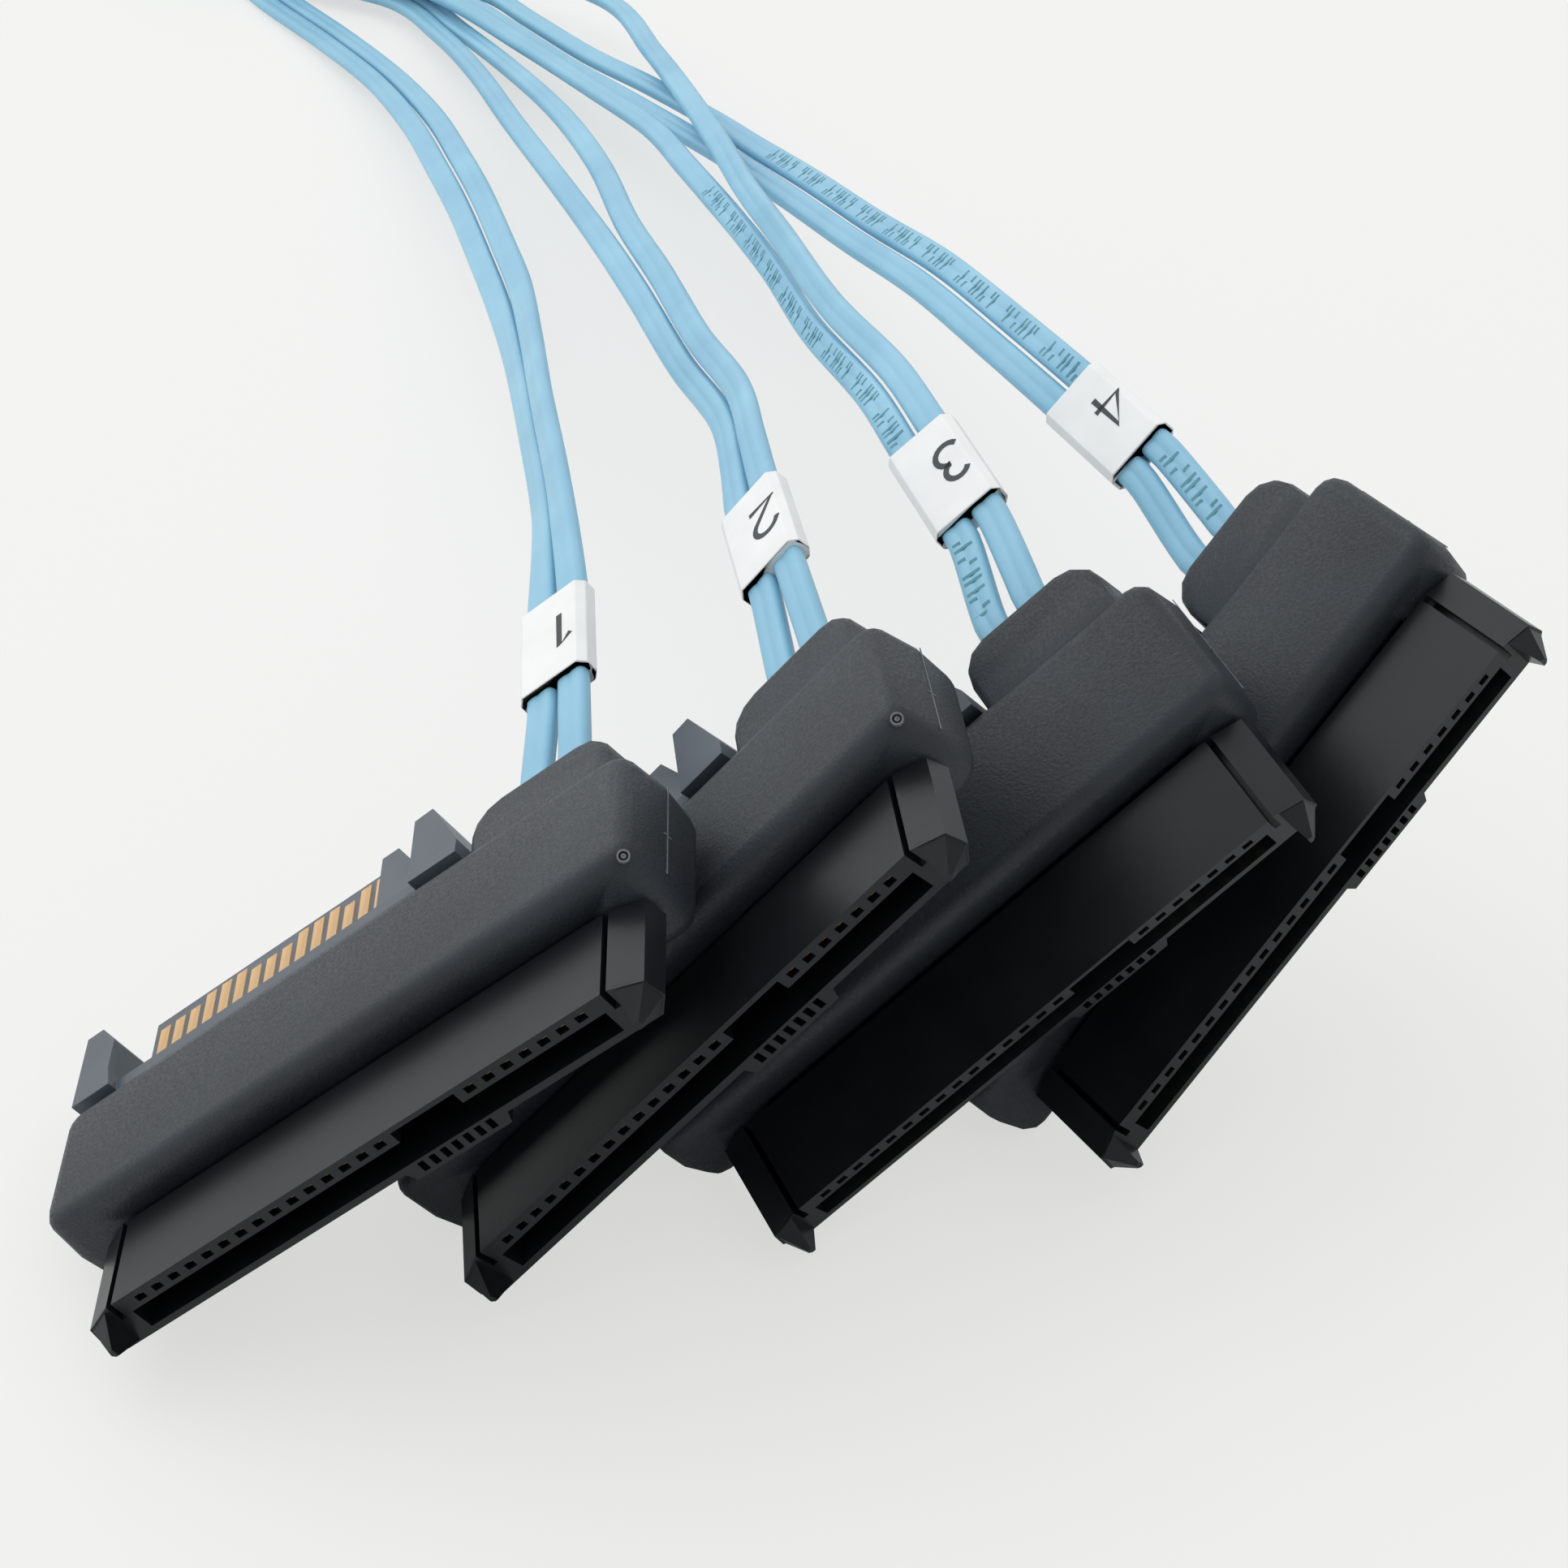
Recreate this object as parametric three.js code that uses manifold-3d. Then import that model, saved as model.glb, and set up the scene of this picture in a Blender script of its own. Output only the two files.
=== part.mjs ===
import * as THREE from 'three';
import { mergeVertices } from 'three/addons/utils/BufferGeometryUtils.js';
import Module from 'manifold-3d';

// An internal breakout cable. Four moulded drive connectors stand in a row, each leaning on its left
// end. Each has a leg of two flat ribbons that runs back and down to the floor, and the rest of the
// ribbons is wound in a coil that ends in one host plug.
// Millimetres, +X to the right along the row, +Y away from the viewer, +Z up, floor at z = 0.
// A connector's own axes are x along its contact row, y towards its cable and z up, from the middle
// of the contact row at the mating face.

const wasm = await Module();
wasm.setup();

// Contact row of a drive connector
const PITCH = 1.27;
const POWER_WAYS = 15;
const SIGNAL_WAYS = 7;
const ROW_GAP = 6.35;
const REAR_WAYS = 7;
const REAR_PITCH = 0.8;
const ROW_LENGTH = (POWER_WAYS - 1) * PITCH + ROW_GAP + (SIGNAL_WAYS - 1) * PITCH;
const FIRST_POWER = -ROW_LENGTH / 2;
const LAST_POWER = FIRST_POWER + (POWER_WAYS - 1) * PITCH;
const FIRST_SIGNAL = LAST_POWER + ROW_GAP;

// Gap between two pieces that touch
const SEAT = 0.3;

// Overmould: the long bar and the cable block behind it
const BAR_LEFT = 23.0;
const BAR_RIGHT = 21.1;
const BAR_FRONT = 6.9;
const BAR_DEPTH = 10.2;
const BAR_TOP = 2.9;
const BAR_BOTTOM = 3.9;
const BAR_CORNER = 1.7;
const BAR_EDGE = 0.9;
const BAR_DRAFT = 0.35;
const PARTING = -0.5;
const BLOCK_CENTRE = 13.8;
const BLOCK_WIDTH = 10.4;
const BLOCK_DEPTH = 4.1;
const BLOCK_DROP = 0.5;
const BLOCK_CORNER = 2.4;
const BLOCK_EDGE = 0.6;
const BAR_REAR = BAR_FRONT + BAR_DEPTH;
const BLOCK_REAR = BAR_REAR + BLOCK_DEPTH;

// Receptacle: the mating face with its cavity, contact windows and guide posts
const FACE_HALF = 18.0;
const FACE_TOP = 0.58;
const FACE_BOTTOM = -2.5;
const POST_RIDGE = 19.95;
const POST_RIDGE_Z = -0.14;
const POST_SIDE = 20.2;
const POST_SIDE_Z = -1.55;
const POST_FOOT = 19.3;
const TIP_REACH = 1.7;
const TIP_X = 18.7;
const TIP_Z = -1.15;
const TIP_SIZE = 0.3;
const CAVITY_HALF = 17.05;
const CAVITY_FLOOR = -2.05;
const CAVITY_ROOF = -0.55;
const CAVITY_DEPTH = 6.0;
const WINDOW_WIDTH = 0.66;
const WINDOW_TOP = 0.2;
const BETWEEN_ROWS_TOP = 0.25;
const ROW_END = 0.95;
const REAR_ROW_X = 5.1;
const REAR_BLOCK_HALF = 3.3;
const REAR_BLOCK_BOTTOM = -3.2;
const REAR_WINDOW_WIDTH = 0.42;
const REAR_WINDOW_TOP = -2.25;
const REAR_WINDOW_BOTTOM = -2.95;
const REAR_WINDOW_DEPTH = 3.0;
const SHANK_HALF = 16.0;
const SHANK_TOP = -0.1;
const SHANK_BOTTOM = -2.1;
const SHANK_DEPTH = 2.0;

// Power plug at the back of the bar, beside the cable block
const PLUG_LEFT = -22.4;
const PLUG_REACH = 6.2;
const PLUG_TOP = 2.9;
const PLUG_BOTTOM = -2.6;
const PLUG_FLANGE = 1.0;
const PLUG_FLANGE_TOP = 2.2;
const GUIDE_WIDTH = 2.7;
const RIGHT_GUIDE_X = 4.7;
const RIGHT_GUIDE_TIP = 1.4;
const BLADE_LEFT = -18.1;
const BLADE_RIGHT = 1.2;
const BLADE_TOP = 1.1;
const BLADE_THICKNESS = 1.3;
const KEY_WIDTH = 1.3;
const KEY_TOP = 1.9;
const PAD_FIRST = -17.2;
const PAD_WIDTH = 0.8;
const PAD_RISE = 0.08;
const PAD_SHORT = 0.9;
const PAD_LONG = 0.4;
const PAD_PATTERN = 'SSSLLLSSSLLLSLL';
const PLUG_SHANK_DEPTH = 2.0;

// Ribbons and their sleeves
const RIBBON_WIDTH = 2.1;
const RIBBON_THICKNESS = 1.1;
const RIBBON_CHAMFER = 0.3;
const RIBBON_OFFSET = -0.75;
const EXIT_SPREAD = 2.9;
const EXIT_STRAIGHT = 2.0;
const SIDE_BY_SIDE = RIBBON_WIDTH + SEAT;
const SLEEVE_GAP = 0.2;
const SLEEVE_WALL = 0.2;
const SLEEVE_STRAIGHT = 2.5;
const STEP_LENGTH = 5.5;

// Bundle of all eight ribbons, and the coil of it that lies out of the photograph's view
const BUNDLE_ROW = RIBBON_THICKNESS + SEAT;
const BUNDLE_BOTTOM = 0.2;
const BUNDLE_ORDER = [0, 1, 3, 2];
const GATHER = [-72.5, 206];
const GATHER_HEADING = 120;
const COIL_RADIUS = 27;
const COIL_TURN = 505;
const COIL_SEGMENTS = 36;
const COIL_CHAMFER = 0.8;
const TAIL_LENGTH = 26;

// Host plug: overmould, shell, paddle card and latch strip
const HOST_WIDTH = 22.0;
const HOST_LENGTH = 19.0;
const HOST_HEIGHT = 8.4;
const HOST_CORNER = 2.0;
const HOST_EDGE = 0.8;
const HOST_DRAFT = 0.2;
const SHELL_WIDTH = 19.6;
const SHELL_HEIGHT = 6.2;
const SHELL_LENGTH = 11.0;
const SHELL_WALL = 0.7;
const SHELL_SEAT = 3.0;
const CARD_WIDTH = 16.6;
const CARD_THICKNESS = 1.0;
const CARD_REACH = 9.5;
const CARD_CORNER = 1.0;
const LATCH_WIDTH = 9.0;
const LATCH_THICKNESS = 0.4;
const LATCH_REACH = 8.0;
const LATCH_BACK = 12.0;

// Where each connector stands: middle of its contact row, then heading, rise and roll in degrees
const CONNECTORS = [
  { at: [-23.5, -22.0, 16.8], heading: 1.7, rise: 38.1, roll: -0.5 },
  { at: [-5.6, -17.1, 19.15], heading: 6.2, rise: 48.3, roll: 0.2 },
  { at: [13.6, -8.6, 14.95], heading: 17.1, rise: 39.0, roll: 16.4 },
  { at: [30.2, -1.2, 18.35], heading: 32.0, rise: 44.2, roll: -0.6 },
];

// Each leg: the ends of its sleeve, then its route as x, y, z, spread of its two ribbons and tilt.
// Where the two part for good, each has points of its own with x, y, z and tilt.
const LEGS = [
  {
    sleeve: [[-14.2, 10.8, 24.6], [-14.8, 19.8, 24.6]],
    pair: [
      [-16.2, 34.9, 23.1, 2.4, 55], [-18.6, 52.3, 20.1, 2.4, 55], [-20.9, 69.2, 16.6, 2.4, 45],
      [-23.0, 82.2, 14.1, 2.4, 40], [-25.6, 95.2, 11.6, 2.4, 35], [-28.8, 109.9, 9.1, 2.4, 30],
      [-32.2, 123.8, 6.6, 2.4, 20], [-36.0, 137.4, 4.6, 2.4, 10], [-41.2, 151.3, 2.8, 2.4, 0],
      [-48.3, 165.1, 1.4, 2.4, 0], [-56.9, 178.7, 0.75, 2.4, 0],
    ],
  },
  {
    sleeve: [[-1.1, 16.7, 29.1], [-2.5, 25.7, 28.6]],
    pair: [
      [-3.3, 33.7, 27.6, 2.4, 50], [-4.3, 43.7, 25.6, 2.4, 50], [-7.5, 57.8, 22.1, 2.4, 45],
      [-11.3, 76.5, 18.1, 2.4, 35], [-15.0, 94.0, 14.1, 2.6, 25], [-19.2, 112.9, 10.6, 4.0, 15],
      [-24.4, 131.6, 7.6, 4.6, 5], [-30.3, 150.2, 4.6, 3.4, 0], [-35.8, 163.6, 2.9, 2.4, 0],
      [-41.8, 174.5, 2.15, 2.4, 0], [-51.5, 180.5, 2.15, 2.4, 0],
    ],
  },
  {
    sleeve: [[11.2, 23.1, 29.1], [8.4, 31.6, 29.6]],
    pair: [[6.2, 42.1, 28.1, 2.4, 45]],
    left: [
      [1.4, 60.9, 22.4, 60], [-1.6, 78.1, 18.7, 60], [-4.8, 94.1, 15.0, 45], [-9.4, 112.2, 11.6, 20],
      [-12.9, 125.5, 9.1, 10], [-19.5, 140.6, 6.6, 0], [-26.9, 154.4, 5.1, 0], [-37.5, 169.6, 4.6, 0],
      [-51.0, 180.2, 4.95, 0],
    ],
    right: [
      [2.9, 58.3, 25.6, 60], [-0.7, 77.4, 21.7, 60], [-3.8, 95.5, 17.3, 45], [-6.3, 112.1, 13.6, 30],
      [-9.1, 126.5, 11.1, 15], [-13.6, 146.0, 8.1, 5], [-19.5, 165.8, 5.6, 0], [-32.0, 177.0, 4.95, 0],
      [-49.5, 183.0, 4.95, 0],
    ],
  },
  {
    sleeve: [[22.9, 32.5, 28.1], [19.1, 40.6, 28.1]],
    pair: [
      [15.2, 51.8, 26.6, 2.4, 40], [10.6, 66.1, 24.1, 2.4, 35], [5.8, 82.2, 19.8, 2.4, 30],
      [0.9, 99.0, 15.5, 2.4, 30], [-4.5, 116.2, 11.1, 2.4, 25], [-8.9, 128.3, 8.3, 3.0, 15],
      [-15.3, 141.5, 6.0, 3.1, 10], [-21.7, 152.1, 4.7, 2.9, 5], [-28.8, 164.0, 3.9, 3.0, 0],
      [-33.5, 171.0, 3.6, 3.2, 0], [-46.0, 180.5, 3.55, 2.4, 0],
    ],
  },
];

const rad = THREE.MathUtils.degToRad;

const MATERIALS = {
  overmould: new THREE.MeshStandardMaterial({ color: 0x2b2d30, roughness: 0.62 }),
  receptacle: new THREE.MeshStandardMaterial({ color: 0x1b1d20, roughness: 0.5 }),
  powerPlug: new THREE.MeshStandardMaterial({ color: 0x5c6064, roughness: 0.5 }),
  ribbon: new THREE.MeshStandardMaterial({ color: 0x8fc3e4, roughness: 0.45 }),
  sleeve: new THREE.MeshStandardMaterial({ color: 0xf2f2f0, roughness: 0.55 }),
  steel: new THREE.MeshStandardMaterial({ color: 0xb9bcc0, roughness: 0.35, metalness: 0.9 }),
  board: new THREE.MeshStandardMaterial({ color: 0x1f5a3a, roughness: 0.5 }),
  tie: new THREE.MeshStandardMaterial({ color: 0x16171a, roughness: 0.6 }),
};

// Boolean helpers
function toSolid(geometry) {
  const bare = geometry.clone();
  bare.deleteAttribute('normal');
  bare.deleteAttribute('uv');
  const merged = mergeVertices(bare, 1e-4);
  const mesh = new wasm.Mesh({
    numProp: 3,
    vertProperties: new Float32Array(merged.attributes.position.array),
    triVerts: new Uint32Array(merged.index.array),
  });
  return new wasm.Manifold(mesh);
}

function toGeometry(solid) {
  const mesh = solid.getMesh();
  const geometry = new THREE.BufferGeometry();
  geometry.setAttribute('position', new THREE.BufferAttribute(new Float32Array(mesh.vertProperties), 3));
  geometry.setIndex(new THREE.BufferAttribute(new Uint32Array(mesh.triVerts), 1));
  geometry.computeVertexNormals();
  return geometry;
}

function joined(geometries) {
  return geometries.map(toSolid).reduce((whole, part) => whole.add(part));
}

function box([x0, x1], [y0, y1], [z0, z1]) {
  const geometry = new THREE.BoxGeometry(x1 - x0, y1 - y0, z1 - z0);
  return geometry.translate((x0 + x1) / 2, (y0 + y1) / 2, (z0 + z1) / 2);
}

function shapeOf(points) {
  return new THREE.Shape(points.map(([a, b]) => new THREE.Vector2(a, b)));
}

// An outline in x and z, drawn out along y
function extrudeY(points, y0, y1) {
  const geometry = new THREE.ExtrudeGeometry(shapeOf(points), { depth: y1 - y0, bevelEnabled: false });
  return geometry.rotateX(Math.PI / 2).translate(0, y1, 0);
}

// An outline in x and y, drawn out along z
function extrudeZ(points, z0, z1) {
  const geometry = new THREE.ExtrudeGeometry(shapeOf(points), { depth: z1 - z0, bevelEnabled: false });
  return geometry.translate(0, 0, z0);
}

// An outline in y and z, drawn out along x
function extrudeX(points, x0, x1) {
  const geometry = new THREE.ExtrudeGeometry(shapeOf(points), { depth: x1 - x0, bevelEnabled: false });
  const axes = [new THREE.Vector3(0, 1, 0), new THREE.Vector3(0, 0, 1), new THREE.Vector3(1, 0, 0)];
  return geometry.applyMatrix4(new THREE.Matrix4().makeBasis(...axes)).translate(x0, 0, 0);
}

// A closed body through rings that all have the same number of points
function loft(rings) {
  const count = rings[0].length;
  const positions = rings.flat(2);
  const index = [];
  for (let level = 0; level + 1 < rings.length; level += 1) {
    for (let i = 0; i < count; i += 1) {
      const a = level * count + i;
      const b = level * count + ((i + 1) % count);
      index.push(a, b, b + count, a, b + count, a + count);
    }
  }
  const last = (rings.length - 1) * count;
  for (let i = 1; i + 1 < count; i += 1) {
    index.push(0, i + 1, i);
    index.push(last, last + i, last + i + 1);
  }
  const geometry = new THREE.BufferGeometry();
  geometry.setAttribute('position', new THREE.Float32BufferAttribute(positions, 3));
  geometry.setIndex(index);
  geometry.computeVertexNormals();
  return geometry;
}

function roundedRing([x0, x1], [y0, y1], radius, z, steps) {
  const ring = [];
  const centres = [
    [x1 - radius, y1 - radius],
    [x0 + radius, y1 - radius],
    [x0 + radius, y0 + radius],
    [x1 - radius, y0 + radius],
  ];
  centres.forEach(([cx, cy], quarter) => {
    for (let k = 0; k <= steps; k += 1) {
      const angle = (quarter + k / steps) * Math.PI / 2;
      ring.push([cx + radius * Math.cos(angle), cy + radius * Math.sin(angle), z]);
    }
  });
  return ring;
}

// A moulded block: round corners in plan, round top and bottom edges, and sides that lean in from
// the parting plane
function mouldedBlock({ x, y, z, corner, edge, draft, parting, cornerSteps = 3, edgeSteps = 3 }) {
  const reach = Math.max(z[1] - parting, parting - z[0]);
  const ringAt = (inset, height) => {
    const lean = inset + draft * Math.abs(height - parting) / reach;
    const radius = Math.max(corner - lean, 0.15);
    return roundedRing([x[0] + lean, x[1] - lean], [y[0] + lean, y[1] - lean], radius, height, cornerSteps);
  };
  const rings = [];
  for (let k = 0; k <= edgeSteps; k += 1) {
    const t = (k / edgeSteps) * Math.PI / 2;
    rings.push(ringAt(edge * (1 - Math.sin(t)), z[0] + edge * (1 - Math.cos(t))));
  }
  rings.push(ringAt(0, parting));
  for (let k = edgeSteps; k >= 0; k -= 1) {
    const t = (k / edgeSteps) * Math.PI / 2;
    rings.push(ringAt(edge * (1 - Math.sin(t)), z[1] - edge * (1 - Math.cos(t))));
  }
  return loft(rings);
}

// Overmould: bar and cable block in one, with a pocket for each of the two inserts
function overmouldGeometry() {
  const bar = mouldedBlock({
    x: [-BAR_LEFT, BAR_RIGHT],
    y: [BAR_FRONT, BAR_REAR],
    z: [-BAR_BOTTOM, BAR_TOP],
    corner: BAR_CORNER,
    edge: BAR_EDGE,
    draft: BAR_DRAFT,
    parting: PARTING,
  });
  const block = mouldedBlock({
    x: [BLOCK_CENTRE - BLOCK_WIDTH / 2, BLOCK_CENTRE + BLOCK_WIDTH / 2],
    y: [BAR_REAR - BLOCK_DEPTH, BLOCK_REAR],
    z: [-BAR_BOTTOM + BLOCK_DROP, BAR_TOP - BLOCK_DROP],
    corner: BLOCK_CORNER,
    edge: BLOCK_EDGE,
    draft: BAR_DRAFT / 2,
    parting: PARTING,
    edgeSteps: 2,
  });
  const frontPocket = box(
    [-SHANK_HALF - SEAT, SHANK_HALF + SEAT],
    [BAR_FRONT - 1, BAR_FRONT + SHANK_DEPTH],
    [SHANK_BOTTOM - SEAT, SHANK_TOP + SEAT],
  );
  const rearPocket = box(
    [BLADE_LEFT - SEAT, BLADE_RIGHT + SEAT],
    [BAR_REAR - PLUG_SHANK_DEPTH, BAR_REAR + 1],
    [BLADE_TOP - BLADE_THICKNESS - SEAT, BLADE_TOP + SEAT],
  );
  const whole = joined([bar, block]);
  return toGeometry(whole.subtract(toSolid(frontPocket)).subtract(toSolid(rearPocket)));
}

// Places of the contact windows along the row
function windowPlaces() {
  const power = Array.from({ length: POWER_WAYS }, (_, i) => FIRST_POWER + i * PITCH);
  const signal = Array.from({ length: SIGNAL_WAYS }, (_, i) => FIRST_SIGNAL + i * PITCH);
  return { power, signal };
}

// Outline of the cavity: a floor, two ends, and a roof that the contact windows notch
function cavityOutline() {
  const { power, signal } = windowPlaces();
  const outline = [[-CAVITY_HALF, CAVITY_FLOOR], [CAVITY_HALF, CAVITY_FLOOR], [CAVITY_HALF, CAVITY_ROOF]];
  const notch = (x) => {
    outline.push([x + WINDOW_WIDTH / 2, CAVITY_ROOF], [x + WINDOW_WIDTH / 2, WINDOW_TOP]);
    outline.push([x - WINDOW_WIDTH / 2, WINDOW_TOP], [x - WINDOW_WIDTH / 2, CAVITY_ROOF]);
  };
  [...signal].reverse().forEach(notch);
  outline.push([FIRST_SIGNAL - ROW_END, CAVITY_ROOF], [FIRST_SIGNAL - ROW_END, BETWEEN_ROWS_TOP]);
  outline.push([LAST_POWER + ROW_END, BETWEEN_ROWS_TOP], [LAST_POWER + ROW_END, CAVITY_ROOF]);
  [...power].reverse().forEach(notch);
  outline.push([-CAVITY_HALF, CAVITY_ROOF]);
  return outline;
}

// Pointed end of a guide post, on the right or, with side -1, on the left
function postTip(side) {
  const base = [
    [FACE_HALF + SEAT, FACE_TOP - 0.1],
    [POST_RIDGE, POST_RIDGE_Z],
    [POST_SIDE, POST_SIDE_Z],
    [POST_FOOT, FACE_BOTTOM],
    [FACE_HALF + SEAT, FACE_BOTTOM],
  ];
  const centre = [TIP_X, TIP_Z];
  const tip = base.map(([x, z]) => {
    const away = Math.hypot(x - centre[0], z - centre[1]);
    return [centre[0] + (x - centre[0]) / away * TIP_SIZE, centre[1] + (z - centre[1]) / away * TIP_SIZE];
  });
  const ring = (points, y) => {
    const placed = points.map(([x, z]) => [side * x, y, z]);
    return side > 0 ? placed : placed.reverse();
  };
  return loft([ring(base, 0.2), ring(tip, -TIP_REACH)].reverse());
}

function receptacleGeometry() {
  const right = [
    [POST_FOOT, FACE_BOTTOM],
    [POST_SIDE, POST_SIDE_Z],
    [POST_RIDGE, POST_RIDGE_Z],
    [FACE_HALF, FACE_TOP],
  ];
  const left = right.map(([x, z]) => [-x, z]).reverse();
  const rearBlock = [
    [REAR_ROW_X - REAR_BLOCK_HALF - 0.3, FACE_BOTTOM],
    [REAR_ROW_X - REAR_BLOCK_HALF, REAR_BLOCK_BOTTOM],
    [REAR_ROW_X + REAR_BLOCK_HALF, REAR_BLOCK_BOTTOM],
    [REAR_ROW_X + REAR_BLOCK_HALF + 0.3, FACE_BOTTOM],
  ];
  const body = extrudeY([...rearBlock, ...right, ...left], 0, BAR_FRONT - SEAT);
  const shank = box(
    [-SHANK_HALF, SHANK_HALF],
    [BAR_FRONT - SEAT - 0.5, BAR_FRONT + SHANK_DEPTH - SEAT],
    [SHANK_BOTTOM, SHANK_TOP],
  );
  const cuts = [extrudeY(cavityOutline(), -1, CAVITY_DEPTH)];
  for (let i = 0; i < REAR_WAYS; i += 1) {
    const x = REAR_ROW_X + (i - (REAR_WAYS - 1) / 2) * REAR_PITCH;
    cuts.push(box(
      [x - REAR_WINDOW_WIDTH / 2, x + REAR_WINDOW_WIDTH / 2],
      [-1, REAR_WINDOW_DEPTH],
      [REAR_WINDOW_BOTTOM, REAR_WINDOW_TOP],
    ));
  }
  const whole = joined([body, shank, postTip(1), postTip(-1)]);
  return toGeometry(whole.subtract(joined(cuts)));
}

function powerPlugGeometry() {
  const front = BAR_REAR + SEAT;
  const flangeRear = front + PLUG_FLANGE;
  const rear = front + PLUG_REACH;
  const right = BLOCK_CENTRE - BLOCK_WIDTH / 2 - SEAT;
  const blade = [BLADE_TOP - BLADE_THICKNESS, BLADE_TOP];
  const leftGuide = extrudeZ([
    [PLUG_LEFT, front],
    [PLUG_LEFT + GUIDE_WIDTH + 0.4, front],
    [PLUG_LEFT + GUIDE_WIDTH, flangeRear + 0.8],
    [PLUG_LEFT + GUIDE_WIDTH, rear - 1.9],
    [PLUG_LEFT + GUIDE_WIDTH / 2, rear],
    [PLUG_LEFT, rear],
  ], PLUG_BOTTOM, PLUG_TOP);
  const rightGuide = extrudeZ([
    [RIGHT_GUIDE_X, front],
    [right, front],
    [right, flangeRear + 0.2],
    [RIGHT_GUIDE_X + RIGHT_GUIDE_TIP, rear - 0.3],
    [RIGHT_GUIDE_X, rear - 0.4],
  ], PLUG_BOTTOM, PLUG_TOP);
  const key = extrudeZ([
    [BLADE_RIGHT, front],
    [BLADE_RIGHT + KEY_WIDTH + 1.4, front],
    [BLADE_RIGHT + KEY_WIDTH + 1.4, rear - 2.6],
    [BLADE_RIGHT + KEY_WIDTH, rear - 0.1],
    [BLADE_RIGHT, rear - 0.1],
  ], blade[0], KEY_TOP);
  const pieces = [
    box([PLUG_LEFT, right], [front, flangeRear], [PLUG_BOTTOM, PLUG_FLANGE_TOP]),
    box([BLADE_LEFT, BLADE_RIGHT + 0.5], [front, rear - 0.2], blade),
    box([BLADE_LEFT, BLADE_RIGHT], [BAR_REAR - PLUG_SHANK_DEPTH + SEAT, flangeRear], blade),
    leftGuide,
    rightGuide,
    key,
  ];
  [...PAD_PATTERN].forEach((kind, i) => {
    const x = PAD_FIRST + i * PITCH;
    const end = rear - 0.2 - (kind === 'L' ? PAD_LONG : PAD_SHORT);
    pieces.push(box(
      [x - PAD_WIDTH / 2, x + PAD_WIDTH / 2],
      [flangeRear - 0.2, end],
      [BLADE_TOP - 0.1, BLADE_TOP + PAD_RISE],
    ));
  });
  return toGeometry(joined(pieces));
}

// A path that keeps a flat section turned as the list of tilts says
class FlatPath extends THREE.CatmullRomCurve3 {
  constructor(points, tilts) {
    super(points, false, 'centripetal');
    this.tilts = tilts;
    this.arcLengthDivisions = 400;
  }

  sideAt(t) {
    const tangent = this.getTangent(t);
    const place = t * (this.tilts.length - 1);
    const before = Math.min(Math.floor(place), this.tilts.length - 2);
    const tilt = rad(THREE.MathUtils.lerp(this.tilts[before], this.tilts[before + 1], place - before));
    const level = new THREE.Vector3().crossVectors(tangent, new THREE.Vector3(0, 0, 1)).normalize();
    const lift = new THREE.Vector3().crossVectors(level, tangent);
    return level.multiplyScalar(Math.cos(tilt)).addScaledVector(lift, Math.sin(tilt));
  }

  computeFrenetFrames(segments) {
    const frames = { tangents: [], normals: [], binormals: [] };
    for (let i = 0; i <= segments; i += 1) {
      const t = this.getUtoTmapping(i / segments);
      const tangent = this.getTangent(t);
      const side = this.sideAt(t);
      frames.tangents.push(tangent);
      frames.normals.push(side);
      frames.binormals.push(new THREE.Vector3().crossVectors(tangent, side));
    }
    return frames;
  }
}

function flatSection(width, thickness, chamfer) {
  const w = width / 2;
  const h = thickness / 2;
  return [
    [w - chamfer, -h], [w, -h + chamfer], [w, h - chamfer], [w - chamfer, h],
    [-w + chamfer, h], [-w, h - chamfer], [-w, -h + chamfer], [-w + chamfer, -h],
  ];
}

function alongPath(path, shape) {
  const steps = Math.max(1, Math.round(path.getLength() / STEP_LENGTH));
  return new THREE.ExtrudeGeometry(shape, { steps, extrudePath: path, bevelEnabled: false });
}

function connectorMatrix({ at, heading, rise, roll }) {
  const turn = new THREE.Euler(rad(roll), -rad(rise), rad(heading), 'ZYX');
  const place = new THREE.Vector3(...at);
  const still = new THREE.Vector3(1, 1, 1);
  return new THREE.Matrix4().compose(place, new THREE.Quaternion().setFromEuler(turn), still);
}

// Bundle: two ribbons wide and one leg per row, running straight to where the coil starts
const BUNDLE_WIDTH = SIDE_BY_SIDE + RIBBON_WIDTH;
const BUNDLE_HEIGHT = LEGS.length * BUNDLE_ROW;
const HEADING = new THREE.Vector3(Math.cos(rad(GATHER_HEADING)), Math.sin(rad(GATHER_HEADING)), 0);
const INWARD = new THREE.Vector3(HEADING.y, -HEADING.x, 0);
const COIL_CENTRE = new THREE.Vector3(...GATHER, 0).addScaledVector(INWARD, COIL_RADIUS);
const COIL_INNER = COIL_RADIUS - BUNDLE_WIDTH / 2;
const COIL_OUTER = COIL_RADIUS + BUNDLE_WIDTH / 2;
const COIL_BOTTOM = BUNDLE_BOTTOM;
const COIL_TOP = COIL_BOTTOM + Math.ceil(COIL_TURN / 360) * BUNDLE_HEIGHT;

// How far before or after the coil's tangent point a straight piece still clears the coil, where its
// near edge runs at this distance from the coil's centre
function clearOfCoil(edge) {
  return Math.sqrt((COIL_OUTER + SEAT) ** 2 - edge ** 2);
}

function bundlePlace(leg, side, before) {
  const z = BUNDLE_BOTTOM + RIBBON_THICKNESS / 2 + BUNDLE_ORDER[leg] * BUNDLE_ROW;
  return new THREE.Vector3(...GATHER, z)
    .addScaledVector(HEADING, -before)
    .addScaledVector(INWARD, side * SIDE_BY_SIDE / 2);
}

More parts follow.
